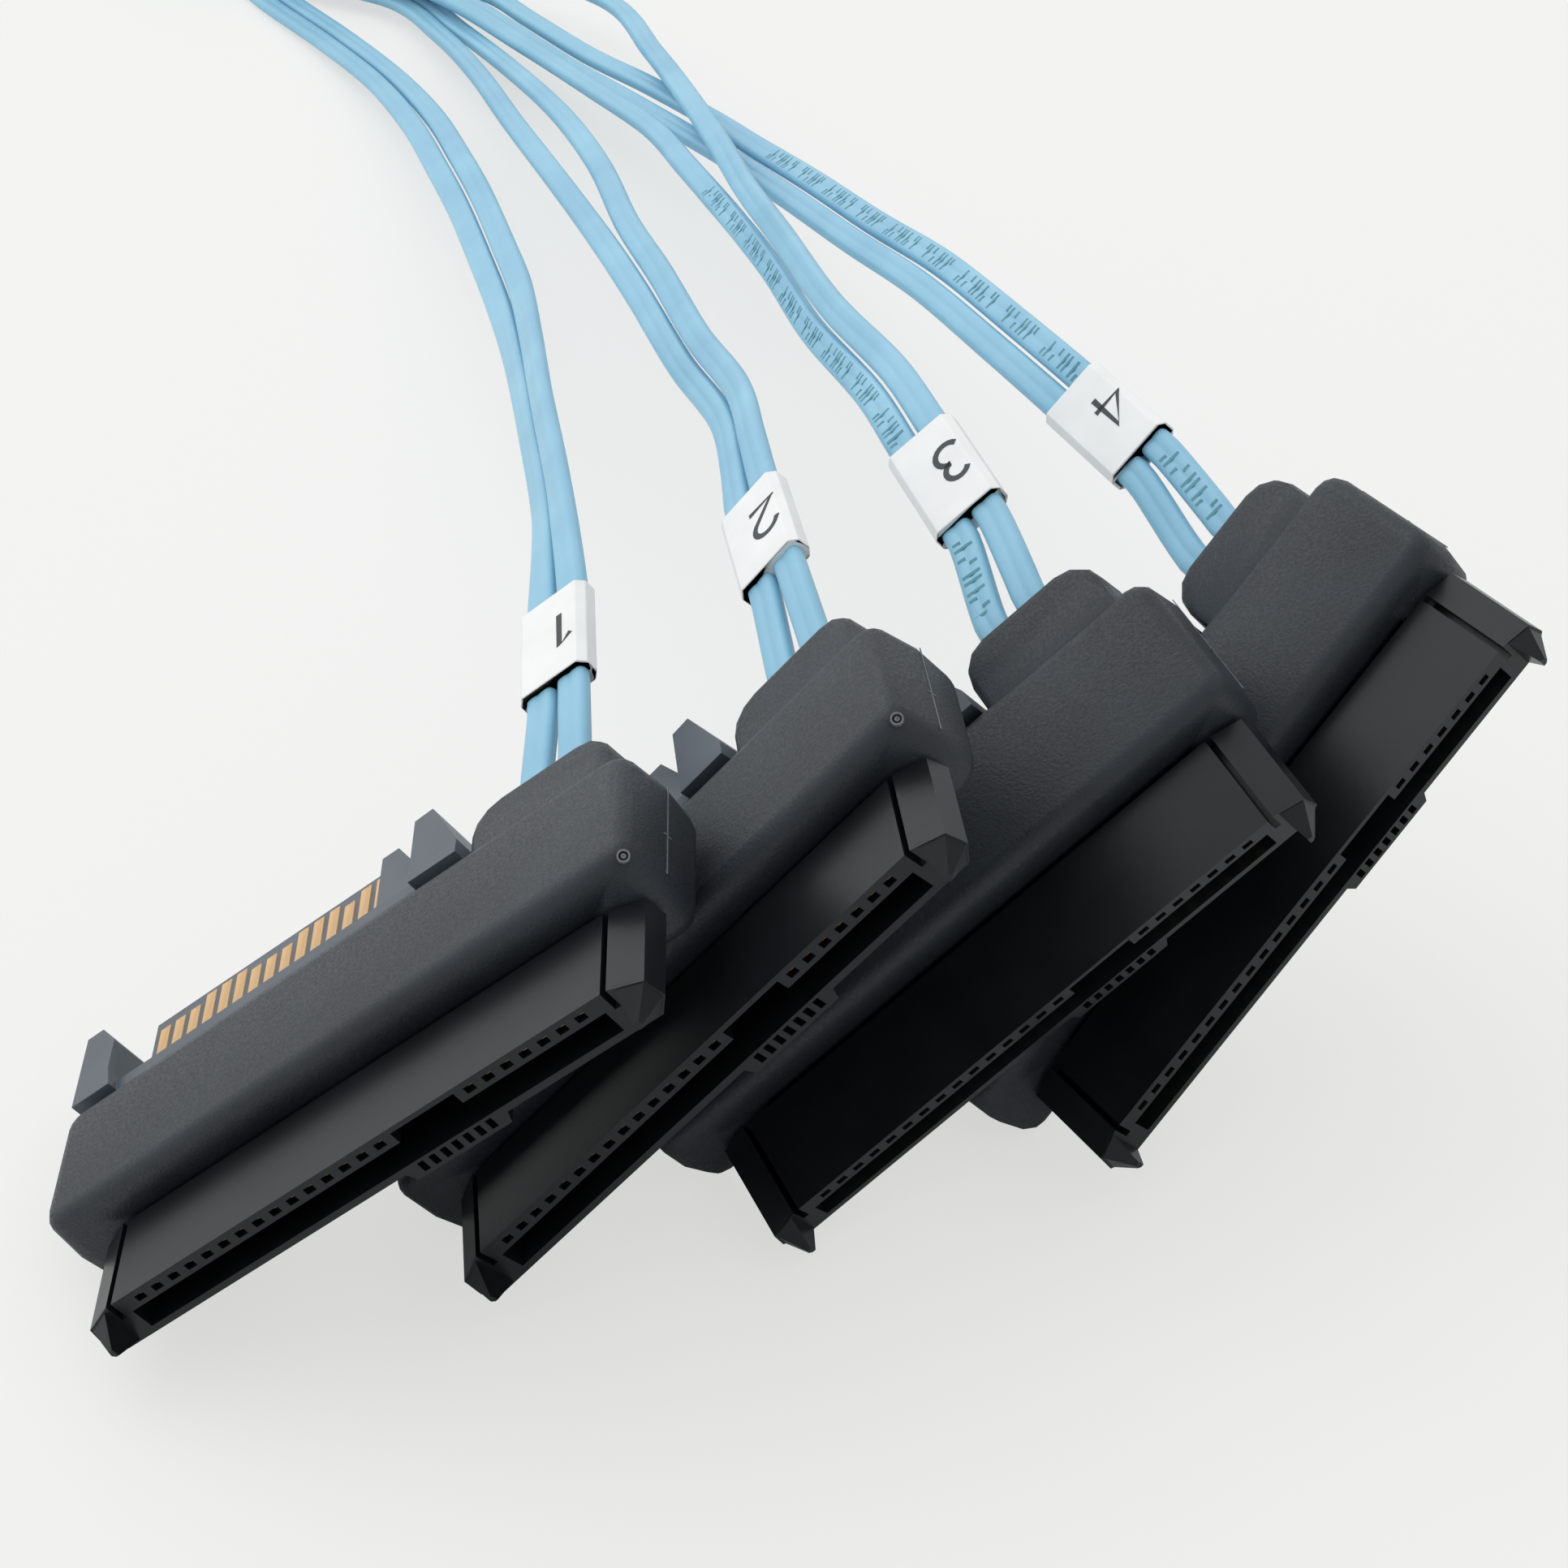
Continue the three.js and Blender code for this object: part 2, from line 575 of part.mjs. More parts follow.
// Tilt of a crosswise direction about a ribbon's own direction
function tiltOf(across, tangent) {
  const level = new THREE.Vector3().crossVectors(tangent, new THREE.Vector3(0, 0, 1)).normalize();
  const lift = new THREE.Vector3().crossVectors(level, tangent);
  return THREE.MathUtils.radToDeg(Math.atan2(across.dot(lift), across.dot(level)));
}

// Both ribbons of a leg leave the cable block square to it, pass the sleeve in a straight line,
// follow the leg's list and end in the bundle
function legPaths(leg) {
  const connector = CONNECTORS[leg];
  const place = connectorMatrix(connector);
  const exit = new THREE.Vector3(BLOCK_CENTRE + RIBBON_OFFSET, BLOCK_REAR + SEAT, 0).applyMatrix4(place);
  const back = new THREE.Vector3(0, 1, 0).transformDirection(place);
  const along = new THREE.Vector3(1, 0, 0).transformDirection(place);
  const exitTilt = tiltOf(along, back);
  const { sleeve, pair, left = [], right = [] } = LEGS[leg];
  const [sleeveStart, sleeveEnd] = sleeve.map((p) => new THREE.Vector3(...p));
  const onSleeve = sleeveEnd.clone().sub(sleeveStart).normalize();
  const stations = [
    { at: exit, spread: EXIT_SPREAD, tilt: exitTilt },
    { at: exit.clone().addScaledVector(back, EXIT_STRAIGHT), spread: EXIT_SPREAD, tilt: exitTilt },
    ...[-SLEEVE_STRAIGHT, 0].map((d) => ({ at: sleeveStart.clone().addScaledVector(onSleeve, d) })),
    { at: sleeveStart.clone().lerp(sleeveEnd, 0.5) },
    ...[0, SLEEVE_STRAIGHT].map((d) => ({ at: sleeveEnd.clone().addScaledVector(onSleeve, d) })),
    ...pair.map(([x, y, z, spread, tilt]) => ({ at: new THREE.Vector3(x, y, z), spread, tilt })),
  ].map(({ at, spread = SIDE_BY_SIDE, tilt = connector.rise }) => ({ at, spread, tilt }));
  const centres = stations.map((station) => station.at);
  const middle = new FlatPath(centres, stations.map((station) => station.tilt));
  const paths = [-1, 1].map((side) => {
    const near = stations.map(({ at, spread }, i) => (
      at.clone().addScaledVector(middle.sideAt(i / (stations.length - 1)), side * spread / 2)
    ));
    const own = side < 0 ? left : right;
    const edge = COIL_RADIUS - side * SIDE_BY_SIDE / 2 - RIBBON_WIDTH / 2;
    const end = clearOfCoil(edge);
    const points = [
      ...near,
      ...own.map(([x, y, z]) => new THREE.Vector3(x, y, z)),
      bundlePlace(leg, side, clearOfCoil(COIL_INNER) + BUNDLE_WIDTH),
      bundlePlace(leg, side, end),
    ];
    return new FlatPath(points, [...stations.map((s) => s.tilt), ...own.map((p) => p[3]), 0, 0]);
  });
  return { paths, sleevePath: new FlatPath([sleeveStart, sleeveEnd], [connector.rise, connector.rise]) };
}

function ribbonGeometry(path) {
  return alongPath(path, shapeOf(flatSection(RIBBON_WIDTH, RIBBON_THICKNESS, RIBBON_CHAMFER)));
}

function sleeveGeometry(path) {
  const width = BUNDLE_WIDTH + 2 * SLEEVE_GAP;
  const height = RIBBON_THICKNESS + 2 * SLEEVE_GAP;
  const outside = [width + 2 * SLEEVE_WALL, height + 2 * SLEEVE_WALL, RIBBON_CHAMFER + SLEEVE_WALL];
  const shape = shapeOf(flatSection(...outside));
  const hole = flatSection(width, height, RIBBON_CHAMFER);
  shape.holes.push(new THREE.Path(hole.map(([a, b]) => new THREE.Vector2(a, b))));
  return new THREE.ExtrudeGeometry(shape, { steps: 1, extrudePath: path, bevelEnabled: false });
}

// Coil: a ring of the outer shape of all its turns
function coilGeometry() {
  const profile = [
    [COIL_INNER + COIL_CHAMFER, COIL_BOTTOM], [COIL_OUTER - COIL_CHAMFER, COIL_BOTTOM],
    [COIL_OUTER, COIL_BOTTOM + COIL_CHAMFER], [COIL_OUTER, COIL_TOP - COIL_CHAMFER],
    [COIL_OUTER - COIL_CHAMFER, COIL_TOP], [COIL_INNER + COIL_CHAMFER, COIL_TOP],
    [COIL_INNER, COIL_TOP - COIL_CHAMFER], [COIL_INNER, COIL_BOTTOM + COIL_CHAMFER],
    [COIL_INNER + COIL_CHAMFER, COIL_BOTTOM],
  ].map(([r, z]) => new THREE.Vector2(r, z));
  const ring = new THREE.LatheGeometry(profile, COIL_SEGMENTS).rotateX(Math.PI / 2);
  return ring.translate(COIL_CENTRE.x, COIL_CENTRE.y, 0);
}

// The coil runs clockwise from where the bundle meets it and leaves its upper layer at a tangent
const COIL_END = rad(GATHER_HEADING + 90 - COIL_TURN);
const TAIL_HEADING = new THREE.Vector3(Math.sin(COIL_END), -Math.cos(COIL_END), 0);
const TAIL_START = clearOfCoil(COIL_INNER);

function tailPlace(distance, z) {
  return new THREE.Vector3(Math.cos(COIL_END), Math.sin(COIL_END), 0)
    .multiplyScalar(COIL_RADIUS)
    .add(COIL_CENTRE)
    .addScaledVector(TAIL_HEADING, distance)
    .setZ(z);
}

function tailGeometry() {
  const high = COIL_TOP - BUNDLE_HEIGHT / 2;
  const low = HOST_HEIGHT / 2;
  const end = TAIL_START + TAIL_LENGTH;
  const path = new FlatPath([
    tailPlace(TAIL_START, high),
    tailPlace(THREE.MathUtils.lerp(TAIL_START, end, 0.3), THREE.MathUtils.lerp(high, low, 0.2)),
    tailPlace(THREE.MathUtils.lerp(TAIL_START, end, 0.7), THREE.MathUtils.lerp(high, low, 0.9)),
    tailPlace(end, low),
  ], [0, 0, 0, 0]);
  return alongPath(path, shapeOf(flatSection(BUNDLE_WIDTH, BUNDLE_HEIGHT - SEAT, COIL_CHAMFER)));
}

// Host plug, in its own axes: y from the cable towards the mating end, z = 0 at mid height
function hostOvermouldGeometry() {
  const block = mouldedBlock({
    x: [-HOST_WIDTH / 2, HOST_WIDTH / 2],
    y: [0, HOST_LENGTH],
    z: [-HOST_HEIGHT / 2, HOST_HEIGHT / 2],
    corner: HOST_CORNER,
    edge: HOST_EDGE,
    draft: HOST_DRAFT,
    parting: 0,
  });
  const pocket = box(
    [-SHELL_WIDTH / 2 - SEAT, SHELL_WIDTH / 2 + SEAT],
    [HOST_LENGTH - SHELL_SEAT - SEAT, HOST_LENGTH + 1],
    [-SHELL_HEIGHT / 2 - SEAT, SHELL_HEIGHT / 2 + SEAT],
  );
  return toGeometry(toSolid(block).subtract(toSolid(pocket)));
}

function hostShellGeometry() {
  const rectangle = (width, height, chamfer) => flatSection(width, height, chamfer);
  const y = [HOST_LENGTH - SHELL_SEAT, HOST_LENGTH + SHELL_LENGTH];
  const outer = extrudeY(rectangle(SHELL_WIDTH, SHELL_HEIGHT, SHELL_WALL), ...y);
  const inner = extrudeY(
    rectangle(SHELL_WIDTH - 2 * SHELL_WALL, SHELL_HEIGHT - 2 * SHELL_WALL, SHELL_WALL / 2),
    y[0] - 1,
    y[1] + 1,
  );
  return toGeometry(toSolid(outer).subtract(toSolid(inner)));
}

function hostCardGeometry() {
  const half = CARD_WIDTH / 2;
  const y0 = HOST_LENGTH - SHELL_SEAT;
  const y1 = HOST_LENGTH + CARD_REACH;
  return extrudeZ([
    [-half, y0], [half, y0], [half, y1 - CARD_CORNER], [half - CARD_CORNER, y1],
    [-half + CARD_CORNER, y1], [-half, y1 - CARD_CORNER],
  ], -CARD_THICKNESS / 2, CARD_THICKNESS / 2);
}

// A sprung steel strip that lies on the overmould, steps down to the shell and ends in a hook
function hostLatchGeometry() {
  const high = HOST_HEIGHT / 2 + SEAT;
  const low = SHELL_HEIGHT / 2 + SEAT;
  const t = LATCH_THICKNESS;
  const back = HOST_LENGTH - LATCH_BACK;
  const step = HOST_LENGTH + 2 * SEAT;
  const end = HOST_LENGTH + LATCH_REACH;
  const side = [
    [back, high], [step, high], [step + t, low], [end - 1.2, low], [end, low],
    [end - 0.4, low + 1.2], [end - 1.2, low + t], [step + 2 * t, low + t], [step + t, high + t],
    [back + 1.5, high + t], [back + 0.6, high + t + 1.0], [back, high + t + 1.0],
  ];
  return extrudeX(side, -LATCH_WIDTH / 2, LATCH_WIDTH / 2);
}

function mesh(name, geometry, material) {
  const made = new THREE.Mesh(geometry, material);
  made.name = name;
  return made;
}

const cable = new THREE.Group();

CONNECTORS.forEach((connector, i) => {
  const group = new THREE.Group();
  group.applyMatrix4(connectorMatrix(connector));
  group.add(mesh(`overmold_${i + 1}`, overmouldGeometry(), MATERIALS.overmould));
  group.add(mesh(`receptacle_${i + 1}`, receptacleGeometry(), MATERIALS.receptacle));
  group.add(mesh(`power_plug_${i + 1}`, powerPlugGeometry(), MATERIALS.powerPlug));
  cable.add(group);
});

LEGS.forEach((_, i) => {
  const { paths, sleevePath } = legPaths(i);
  cable.add(mesh(`ribbon_${i + 1}a`, ribbonGeometry(paths[0]), MATERIALS.ribbon));
  cable.add(mesh(`ribbon_${i + 1}b`, ribbonGeometry(paths[1]), MATERIALS.ribbon));
  cable.add(mesh(`label_${i + 1}`, sleeveGeometry(sleevePath), MATERIALS.sleeve));
});

cable.add(mesh('cable_coil', coilGeometry(), MATERIALS.ribbon));
cable.add(mesh('cable_tail', tailGeometry(), MATERIALS.ribbon));

const host = new THREE.Group();
host.position.copy(tailPlace(TAIL_START + TAIL_LENGTH + SEAT, HOST_HEIGHT / 2));
host.rotation.z = Math.atan2(TAIL_HEADING.y, TAIL_HEADING.x) - Math.PI / 2;
host.add(mesh('host_overmold', hostOvermouldGeometry(), MATERIALS.overmould));
host.add(mesh('host_shell', hostShellGeometry(), MATERIALS.steel));
host.add(mesh('host_card', hostCardGeometry(), MATERIALS.board));
host.add(mesh('host_latch', hostLatchGeometry(), MATERIALS.steel));
cable.add(host);

export default cable;
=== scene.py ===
"""Looks of an internal breakout cable: four drive connectors on flat blue ribbons, and a host plug."""
import math

import bmesh
import bpy
from mathutils import Euler, Matrix, Vector


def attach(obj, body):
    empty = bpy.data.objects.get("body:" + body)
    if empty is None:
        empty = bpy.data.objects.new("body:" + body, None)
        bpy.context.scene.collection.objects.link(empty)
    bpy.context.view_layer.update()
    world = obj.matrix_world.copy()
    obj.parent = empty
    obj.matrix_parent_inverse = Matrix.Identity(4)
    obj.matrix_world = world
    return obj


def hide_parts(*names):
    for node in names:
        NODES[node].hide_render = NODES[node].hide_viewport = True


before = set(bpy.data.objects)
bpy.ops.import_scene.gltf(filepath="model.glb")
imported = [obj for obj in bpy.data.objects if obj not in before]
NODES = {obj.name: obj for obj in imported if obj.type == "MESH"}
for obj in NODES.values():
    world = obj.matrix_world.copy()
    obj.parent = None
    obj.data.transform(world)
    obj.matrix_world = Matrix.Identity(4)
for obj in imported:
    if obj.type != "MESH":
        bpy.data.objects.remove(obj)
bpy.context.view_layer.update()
MM = 0.001
UP = Vector((0, 0, 1))

# Photograph: 1932 pixels square
FOCAL_PX = 3709.0
PHOTO_PX = 1932.0
SENSOR = 36.0
CAMERA_AT = Vector((-0.6, -138.6, 128.2)) * MM
CAMERA_DOWN = 36.54
CLIP_START = 0.01

# The same sizes and places as the solids, in millimetres
SEAT = 0.3
BLOCK_CENTRE = 13.8
BLOCK_REAR = 21.2
RIBBON_WIDTH = 2.1
RIBBON_THICKNESS = 1.1
RIBBON_OFFSET = -0.75
EXIT_SPREAD = 2.9
SIDE_BY_SIDE = RIBBON_WIDTH + SEAT
SLEEVE_GAP = 0.2
SLEEVE_WALL = 0.2
BUNDLE_ROW = RIBBON_THICKNESS + SEAT
BUNDLE_BOTTOM = 0.2
BUNDLE_ORDER = [0, 1, 3, 2]
PITCH = 1.27
POWER_WAYS = 15
SIGNAL_WAYS = 7
ROW_GAP = 6.35
FIRST_POWER = -((POWER_WAYS + SIGNAL_WAYS - 2) * PITCH + ROW_GAP) / 2
CAVITY_DEPTH = 6.0
CAVITY_ROOF = -0.55
WINDOW_WIDTH = 0.66
FACE_TOP = 0.58
BAR_FRONT = 6.9
BLADE_TOP = 1.1
PAD_RISE = 0.08
BAR_RIGHT = 21.1
PARTING = -0.5
HOST_LENGTH = 19.0
CARD_THICKNESS = 1.0
CARD_REACH = 9.5
BUNDLE_WIDTH = SIDE_BY_SIDE + RIBBON_WIDTH
BUNDLE_HEIGHT = 4 * BUNDLE_ROW
GATHER = (-72.5, 206.0)
GATHER_HEADING = 120.0
COIL_RADIUS = 27.0
COIL_TURN = 505.0
COIL_CLIMB = (265.0, 330.0)
TAIL_LENGTH = 26.0
HOST_HEIGHT = 8.4

# The ribbons between block and sleeve, where they run straighter than in the solids
EXIT_STRAIGHT = 0.8
EXIT_BEND = 1.8
SLEEVE_STRAIGHT = 1.2

# How finely the ribbons are drawn, and how far they start inside the cable block
CURVE_STEPS = 14
COIL_STEP = 5
TAIL_STEPS = 16
RIBBON_STEP = 1.3
INTO_BLOCK = 1.0

CONNECTORS = [
    {"at": (-23.5, -22.0, 16.8), "heading": 1.7, "rise": 38.1, "roll": -0.5},
    {"at": (-5.6, -17.1, 19.15), "heading": 6.2, "rise": 48.3, "roll": 0.2},
    {"at": (13.6, -8.6, 14.95), "heading": 17.1, "rise": 39.0, "roll": 16.4},
    {"at": (30.2, -1.2, 18.35), "heading": 32.0, "rise": 44.2, "roll": -0.6},
]

# Each leg: the ends of its sleeve, then its route as x, y, z, spread of its two ribbons and tilt.
# Where the two part for good, each has points of its own with x, y, z and tilt. The points are the
# solids', and the first three tilts of legs 1 and 2 are steeper than theirs.
LEGS = [
    {
        "sleeve": [(-14.2, 10.8, 24.6), (-14.8, 19.8, 24.6)],
        "pair": [
            (-16.2, 34.9, 23.1, 2.4, 62), (-18.6, 52.3, 20.1, 2.4, 64), (-20.9, 69.2, 16.6, 2.4, 56),
            (-23.0, 82.2, 14.1, 2.4, 40), (-25.6, 95.2, 11.6, 2.4, 35), (-28.8, 109.9, 9.1, 2.4, 30),
            (-32.2, 123.8, 6.6, 2.4, 20), (-36.0, 137.4, 4.6, 2.4, 10), (-41.2, 151.3, 2.8, 2.4, 0),
            (-48.3, 165.1, 1.4, 2.4, 0), (-56.9, 178.7, 0.75, 2.4, 0),
        ],
    },
    {
        "sleeve": [(-1.1, 16.7, 29.1), (-2.5, 25.7, 28.6)],
        "pair": [
            (-3.3, 33.7, 27.6, 2.4, 58), (-4.3, 43.7, 25.6, 2.4, 60), (-7.5, 57.8, 22.1, 2.4, 54),
            (-11.3, 76.5, 18.1, 2.4, 35), (-15.0, 94.0, 14.1, 2.6, 25), (-19.2, 112.9, 10.6, 4.0, 15),
            (-24.4, 131.6, 7.6, 4.6, 5), (-30.3, 150.2, 4.6, 3.4, 0), (-35.8, 163.6, 2.9, 2.4, 0),
            (-41.8, 174.5, 2.15, 2.4, 0), (-51.5, 180.5, 2.15, 2.4, 0),
        ],
    },
    {
        "sleeve": [(11.2, 23.1, 29.1), (8.4, 31.6, 29.6)],
        "pair": [(6.2, 42.1, 28.1, 2.4, 45)],
        "left": [
            (1.4, 60.9, 22.4, 60), (-1.6, 78.1, 18.7, 60), (-4.8, 94.1, 15.0, 45),
            (-9.4, 112.2, 11.6, 20), (-12.9, 125.5, 9.1, 10), (-19.5, 140.6, 6.6, 0),
            (-26.9, 154.4, 5.1, 0), (-37.5, 169.6, 4.6, 0), (-51.0, 180.2, 4.95, 0),
        ],
        "right": [
            (2.9, 58.3, 25.6, 60), (-0.7, 77.4, 21.7, 60), (-3.8, 95.5, 17.3, 45),
            (-6.3, 112.1, 13.6, 30), (-9.1, 126.5, 11.1, 15), (-13.6, 146.0, 8.1, 5),
            (-19.5, 165.8, 5.6, 0), (-32.0, 177.0, 4.95, 0), (-49.5, 183.0, 4.95, 0),
        ],
    },
    {
        "sleeve": [(22.9, 32.5, 28.1), (19.1, 40.6, 28.1)],
        "pair": [
            (15.2, 51.8, 26.6, 2.4, 40), (10.6, 66.1, 24.1, 2.4, 35), (5.8, 82.2, 19.8, 2.4, 30),
            (0.9, 99.0, 15.5, 2.4, 30), (-4.5, 116.2, 11.1, 2.4, 25), (-8.9, 128.3, 8.3, 3.0, 15),
            (-15.3, 141.5, 6.0, 3.1, 10), (-21.7, 152.1, 4.7, 2.9, 5), (-28.8, 164.0, 3.9, 3.0, 0),
            (-33.5, 171.0, 3.6, 3.2, 0), (-46.0, 180.5, 3.55, 2.4, 0),
        ],
    },
]


def rad(degrees):
    return math.radians(degrees)


# Camera

def make_camera():
    data = bpy.data.cameras.new("camera")
    data.sensor_width = SENSOR
    data.lens = FOCAL_PX / PHOTO_PX * SENSOR
    data.clip_start = CLIP_START
    camera = bpy.data.objects.new("camera", data)
    camera.location = CAMERA_AT
    camera.rotation_euler = (rad(90 - CAMERA_DOWN), 0, 0)
    bpy.context.scene.collection.objects.link(camera)
    bpy.context.scene.camera = camera


# Meshes

def new_object(name, verts, faces, material, smooth=True):
    data = bpy.data.meshes.new(name)
    data.from_pydata([tuple(v) for v in verts], [], faces)
    data.materials.append(material)
    data.polygons.foreach_set("use_smooth", [smooth] * len(data.polygons))
    data.update()
    obj = bpy.data.objects.new(name, data)
    bpy.context.scene.collection.objects.link(obj)
    return obj


def connector_matrix(connector):
    turn = Euler((rad(connector["roll"]), -rad(connector["rise"]), rad(connector["heading"])), "XYZ")
    return Matrix.Translation(Vector(connector["at"])) @ turn.to_matrix().to_4x4()


# Ribbon paths, worked out as in the solids apart from the run between block and sleeve

def spline_point(points, t):
    """Point and direction of a centripetal Catmull-Rom curve, where t counts control points."""
    last = len(points) - 1
    i = min(int(t), last - 1)
    w = t - i
    p1, p2 = points[i], points[i + 1]
    p0 = points[i - 1] if i > 0 else p1 * 2 - p2
    p3 = points[i + 2] if i + 2 <= last else p2 * 2 - p1
    d0, d1, d2 = ((b - a).length ** 0.5 for a, b in ((p0, p1), (p1, p2), (p2, p3)))
    t1 = ((p1 - p0) / d0 - (p2 - p0) / (d0 + d1) + (p2 - p1) / d1) * d1
    t2 = ((p2 - p1) / d1 - (p3 - p1) / (d1 + d2) + (p3 - p2) / d2) * d1
    c2 = p1 * -3 + p2 * 3 - t1 * 2 - t2
    c3 = p1 * 2 - p2 * 2 + t1 + t2
    place = p1 + t1 * w + c2 * w * w + c3 * w ** 3
    direction = t1 + c2 * 2 * w + c3 * 3 * w * w
    return place, direction.normalized()


def side_of(direction, tilt):
    level = direction.cross(UP).normalized()
    lift = level.cross(direction)
    return level * math.cos(rad(tilt)) + lift * math.sin(rad(tilt))


def tilt_of(across, direction):
    level = direction.cross(UP).normalized()
    lift = level.cross(direction)
    return math.degrees(math.atan2(across.dot(lift), across.dot(level)))


HEADING = Vector((math.cos(rad(GATHER_HEADING)), math.sin(rad(GATHER_HEADING)), 0))
INWARD = Vector((HEADING.y, -HEADING.x, 0))
COIL_CENTRE = Vector((*GATHER, 0)) + INWARD * COIL_RADIUS
COIL_INNER = COIL_RADIUS - BUNDLE_WIDTH / 2
COIL_OUTER = COIL_RADIUS + BUNDLE_WIDTH / 2
COIL_END = rad(GATHER_HEADING + 90 - COIL_TURN)
TAIL_HEADING = Vector((math.sin(COIL_END), -math.cos(COIL_END), 0))


def clear_of_coil(edge):
    return math.sqrt((COIL_OUTER + SEAT) ** 2 - edge ** 2)


TAIL_START = clear_of_coil(COIL_INNER)


def bundle_place(leg, side, before):
    z = BUNDLE_BOTTOM + RIBBON_THICKNESS / 2 + BUNDLE_ORDER[leg] * BUNDLE_ROW
    return Vector((*GATHER, z)) - HEADING * before + INWARD * (side * SIDE_BY_SIDE / 2)


def smooth_step(x):
    x = min(max(x, 0.0), 1.0)
    return x * x * (3 - 2 * x)


def leg_stations(leg):
    """Places, spreads and tilts that the two ribbons of a leg share."""
    connector, route = CONNECTORS[leg], LEGS[leg]
    place = connector_matrix(connector)
    turn = place.to_3x3()
    exit_at = place @ Vector((BLOCK_CENTRE + RIBBON_OFFSET, BLOCK_REAR + SEAT, 0))
    back = turn @ Vector((0, 1, 0))
    exit_tilt = tilt_of(turn @ Vector((1, 0, 0)), back)
    start, end = (Vector(p) for p in route["sleeve"])
    on_sleeve = (end - start).normalized()
    rise = connector["rise"]
    bend = exit_at + back * EXIT_STRAIGHT
    to_sleeve = (start - bend).normalized()
    stations = [
        (exit_at, EXIT_SPREAD, exit_tilt),
        (bend, EXIT_SPREAD, exit_tilt),
        (bend + to_sleeve * EXIT_BEND, EXIT_SPREAD, exit_tilt),
        (start - on_sleeve * SLEEVE_STRAIGHT, SIDE_BY_SIDE, rise),
        (start, SIDE_BY_SIDE, rise),
        ((start + end) / 2, SIDE_BY_SIDE, rise),
        (end, SIDE_BY_SIDE, rise),
        (end + on_sleeve * SLEEVE_STRAIGHT, SIDE_BY_SIDE, rise),
    ]
    stations += [(Vector(p[:3]), p[3], p[4]) for p in route["pair"]]
    return stations, back


def ribbon_path(leg, side):
    """Points, directions and tilts of one ribbon from its connector to the host plug, in millimetres."""
    stations, back = leg_stations(leg)
    centres = [s[0] for s in stations]
    controls, tilts = [], []
    for i, (at, spread, tilt) in enumerate(stations):
        direction = spline_point(centres, i)[1] if i else back
        controls.append(at + side_of(direction, tilt) * (side * spread / 2))
        tilts.append(tilt)
    for x, y, z, tilt in LEGS[leg].get("left" if side < 0 else "right", []):
        controls.append(Vector((x, y, z)))
        tilts.append(tilt)
    edge = COIL_RADIUS - side * SIDE_BY_SIDE / 2 - RIBBON_WIDTH / 2
    controls.append(bundle_place(leg, side, clear_of_coil(COIL_INNER) + BUNDLE_WIDTH))
    controls.append(bundle_place(leg, side, clear_of_coil(edge)))
    tilts += [0, 0]

    line = [(controls[0] - back * INTO_BLOCK, tilts[0])]
    for i in range((len(controls) - 1) * CURVE_STEPS + 1):
        t = i / CURVE_STEPS
        low = min(int(t), len(tilts) - 2)
        line.append((spline_point(controls, t)[0], tilts[low] + (tilts[low + 1] - tilts[low]) * (t - low)))

    radius = COIL_RADIUS - side * SIDE_BY_SIDE / 2
    base = controls[-1].z
    steps = int(COIL_TURN / COIL_STEP)
    for i in range(steps + 1):
        turned = COIL_TURN * i / steps
        angle = rad(GATHER_HEADING + 90 - turned)
        climb = smooth_step((turned - COIL_CLIMB[0]) / (COIL_CLIMB[1] - COIL_CLIMB[0]))
        line.append((COIL_CENTRE + Vector((math.cos(angle), math.sin(angle), 0)) * radius
                     + UP * (base + climb * BUNDLE_HEIGHT), 0))

    leave = line[-1][0]
    upper_turn = BUNDLE_BOTTOM + BUNDLE_HEIGHT * 1.5
    drop = upper_turn - HOST_HEIGHT / 2
    for i in range(1, TAIL_STEPS + 1):
        share = i / TAIL_STEPS
        ahead = (TAIL_START + TAIL_LENGTH + 2 * SEAT) * share
        fall = smooth_step((ahead - TAIL_START) / TAIL_LENGTH) * drop
        line.append((leave + TAIL_HEADING * ahead - UP * fall, 0))
    return resampled(line, RIBBON_STEP)


def resampled(line, step):
    """The same line with points about one step apart, each with its direction and tilt."""
    lengths = [0.0]
    for (a, _), (b, _) in zip(line, line[1:]):
        lengths.append(lengths[-1] + (b - a).length)
    count = round(lengths[-1] / step)
    points, tilts, k = [], [], 0
    for i in range(count + 1):
        target = lengths[-1] * i / count
        while k < len(line) - 2 and lengths[k + 1] < target:
            k += 1
        w = (target - lengths[k]) / max(lengths[k + 1] - lengths[k], 1e-9)
        points.append(line[k][0].lerp(line[k + 1][0], w))
        tilts.append(line[k][1] * (1 - w) + line[k + 1][1] * w)
    directions = []
    for i in range(len(points)):
        directions.append((points[min(i + 1, count)] - points[max(i - 1, 0)]).normalized())
    return points, directions, tilts


# Section of a ribbon: how much wider it is drawn than the solid, its round edges, and the shallow
# groove along its middle, with the share of the depth that its shoulders reach
SECTION_SPARE = 0.05
SECTION_EDGE = 0.42
SECTION_STEPS = 6
FLAT_SHARE = 0.45
GROOVE_DEPTH = 0.05
GROOVE_HALF = 0.12
GROOVE_SHOULDER = 0.6


